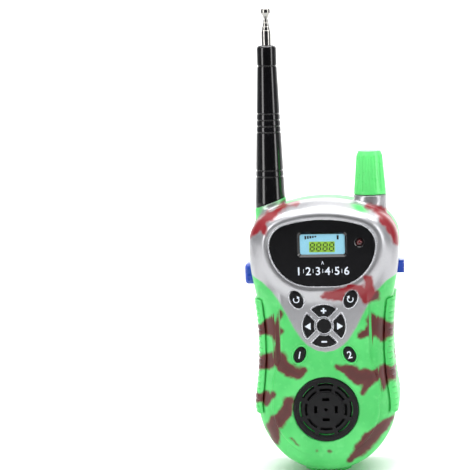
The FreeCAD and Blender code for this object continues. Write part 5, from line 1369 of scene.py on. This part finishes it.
# ---------------------------------------------------------------- stage, light and camera
def build_stage():
    """Pale floor that curves up into a backdrop, painted grey towards the camera as a painted shade."""
    bend_start, bend_r = 0.5, 0.6
    rows = [(-1.6, 0.0), (bend_start, 0.0)]
    for turn in range(6, 91, 6):
        angle = math.radians(turn)
        rows.append((bend_start + bend_r * math.sin(angle), bend_r - bend_r * math.cos(angle)))
    rows.append((bend_start + bend_r, 2.6))
    points, faces = [], []
    for y, z in rows:
        points += [(-2.2 / MM, y / MM, z / MM), (2.2 / MM, y / MM, z / MM)]
    for index in range(len(rows) - 1):
        a = 2 * index
        faces.append((a, a + 1, a + 3, a + 2))
    floor = mesh_object("floor", points, np.array(faces))
    material, graph, shader = new_material("floor_with_painted_shade")
    where = place_mm(graph)
    cloud = graph.noise(where, 0.004, 2.0)
    pale = graph.mix(cloud, rgb(236, 236, 236), rgb(244, 244, 244))
    # painted shade: the floor's colour turns grey towards the camera, from 220 mm to 620 mm in front of the
    # object
    depth = graph.node("ShaderNodeSeparateXYZ", {0: where}).outputs[1]
    graph.feed(shader.inputs["Base Color"],
               graph.mix(graph.remap(depth, -220, -620), pale, rgb(120, 120, 122)))
    shader.inputs["Roughness"].default_value = 0.7
    dress(floor, material)


def soft_light(name, place, aim, width, height, power, tint=(1, 1, 1)):
    lamp = bpy.data.lights.new(name, "AREA")
    lamp.shape = "RECTANGLE"
    lamp.size, lamp.size_y = width, height
    lamp.energy = power
    lamp.color = tint
    holder = bpy.data.objects.new(name, lamp)
    holder.location = place
    holder.rotation_mode = "QUATERNION"
    holder.rotation_quaternion = (Vector(aim) - Vector(place)).to_track_quat("-Z", "Y")
    bpy.context.scene.collection.objects.link(holder)


def build_lights():
    middle = (0, 0, 0.11)
    soft_light("key_left", (-0.8, -0.7, 0.5), middle, 0.35, 1.0, 5.6)
    soft_light("key_right", (0.95, -0.45, 0.45), middle, 0.3, 1.0, 4.2)
    soft_light("top", (0.0, -0.35, 1.1), middle, 0.9, 0.5, 5.0)
    soft_light("rear", (0.3, 0.9, 0.9), middle, 1.0, 0.8, 1.6)
    soft_light("backdrop", (0.0, 0.2, 1.3), (0, 0.9, 0.3), 2.0, 0.5, 30)
    world = bpy.data.worlds.new("studio")
    world.use_nodes = True
    tree = world.node_tree
    graph = Graph(tree)
    background = tree.nodes["Background"]
    way = graph.node("ShaderNodeTexCoord").outputs["Generated"]
    split = graph.node("ShaderNodeSeparateXYZ", {0: way})
    ahead = graph.remap(split.outputs[1], 0.15, -0.75)
    sky = graph.mix(graph.remap(split.outputs[2], -0.3, 0.8), (0.34, 0.35, 0.37, 1), (0.6, 0.61, 0.63, 1))
    graph.feed(background.inputs[0], graph.mix(ahead, sky, (0.10, 0.10, 0.11, 1)))
    background.inputs[1].default_value = 0.62
    bpy.context.scene.world = world


CAMERA_DISTANCE = 0.95
CAMERA_PITCH = math.radians(7.6)
CAMERA_ROLL = math.radians(1.35)
CAMERA_TURN = math.radians(4.2)      # towards the right-hand side
FRAME_WIDTH = 0.2490         # width seen at the object
ACROSS = 0.0476              # object to the right of the middle of the picture
AIM_HEIGHT = 0.1262


def build_camera():
    camera = bpy.data.cameras.new("camera")
    camera.sensor_width = 36.0
    camera.lens = 36.0 * CAMERA_DISTANCE / FRAME_WIDTH
    camera.clip_start, camera.clip_end = 0.01, 20
    holder = bpy.data.objects.new("camera", camera)
    level = math.cos(CAMERA_PITCH)
    back = Vector((math.sin(CAMERA_TURN) * level, -math.cos(CAMERA_TURN) * level, math.sin(CAMERA_PITCH)))
    holder.location = Vector((0, 0, AIM_HEIGHT)) + back * CAMERA_DISTANCE
    camera.shift_x = -ACROSS * math.cos(CAMERA_ROLL) / FRAME_WIDTH
    camera.shift_y = -ACROSS * math.sin(CAMERA_ROLL) / FRAME_WIDTH
    holder.rotation_euler = (math.pi / 2 - CAMERA_PITCH, 0, CAMERA_TURN)
    holder.rotation_euler.rotate_axis("Z", -CAMERA_ROLL)
    bpy.context.scene.collection.objects.link(holder)
    bpy.context.scene.camera = holder


bpy.context.scene.view_settings.view_transform = "Standard"
dress_nodes()
build_casing()
build_grips()
build_rims()
build_panel_bead()
build_key_prints()
build_display()
build_panel_scale()
build_stage()
build_lights()
build_camera()
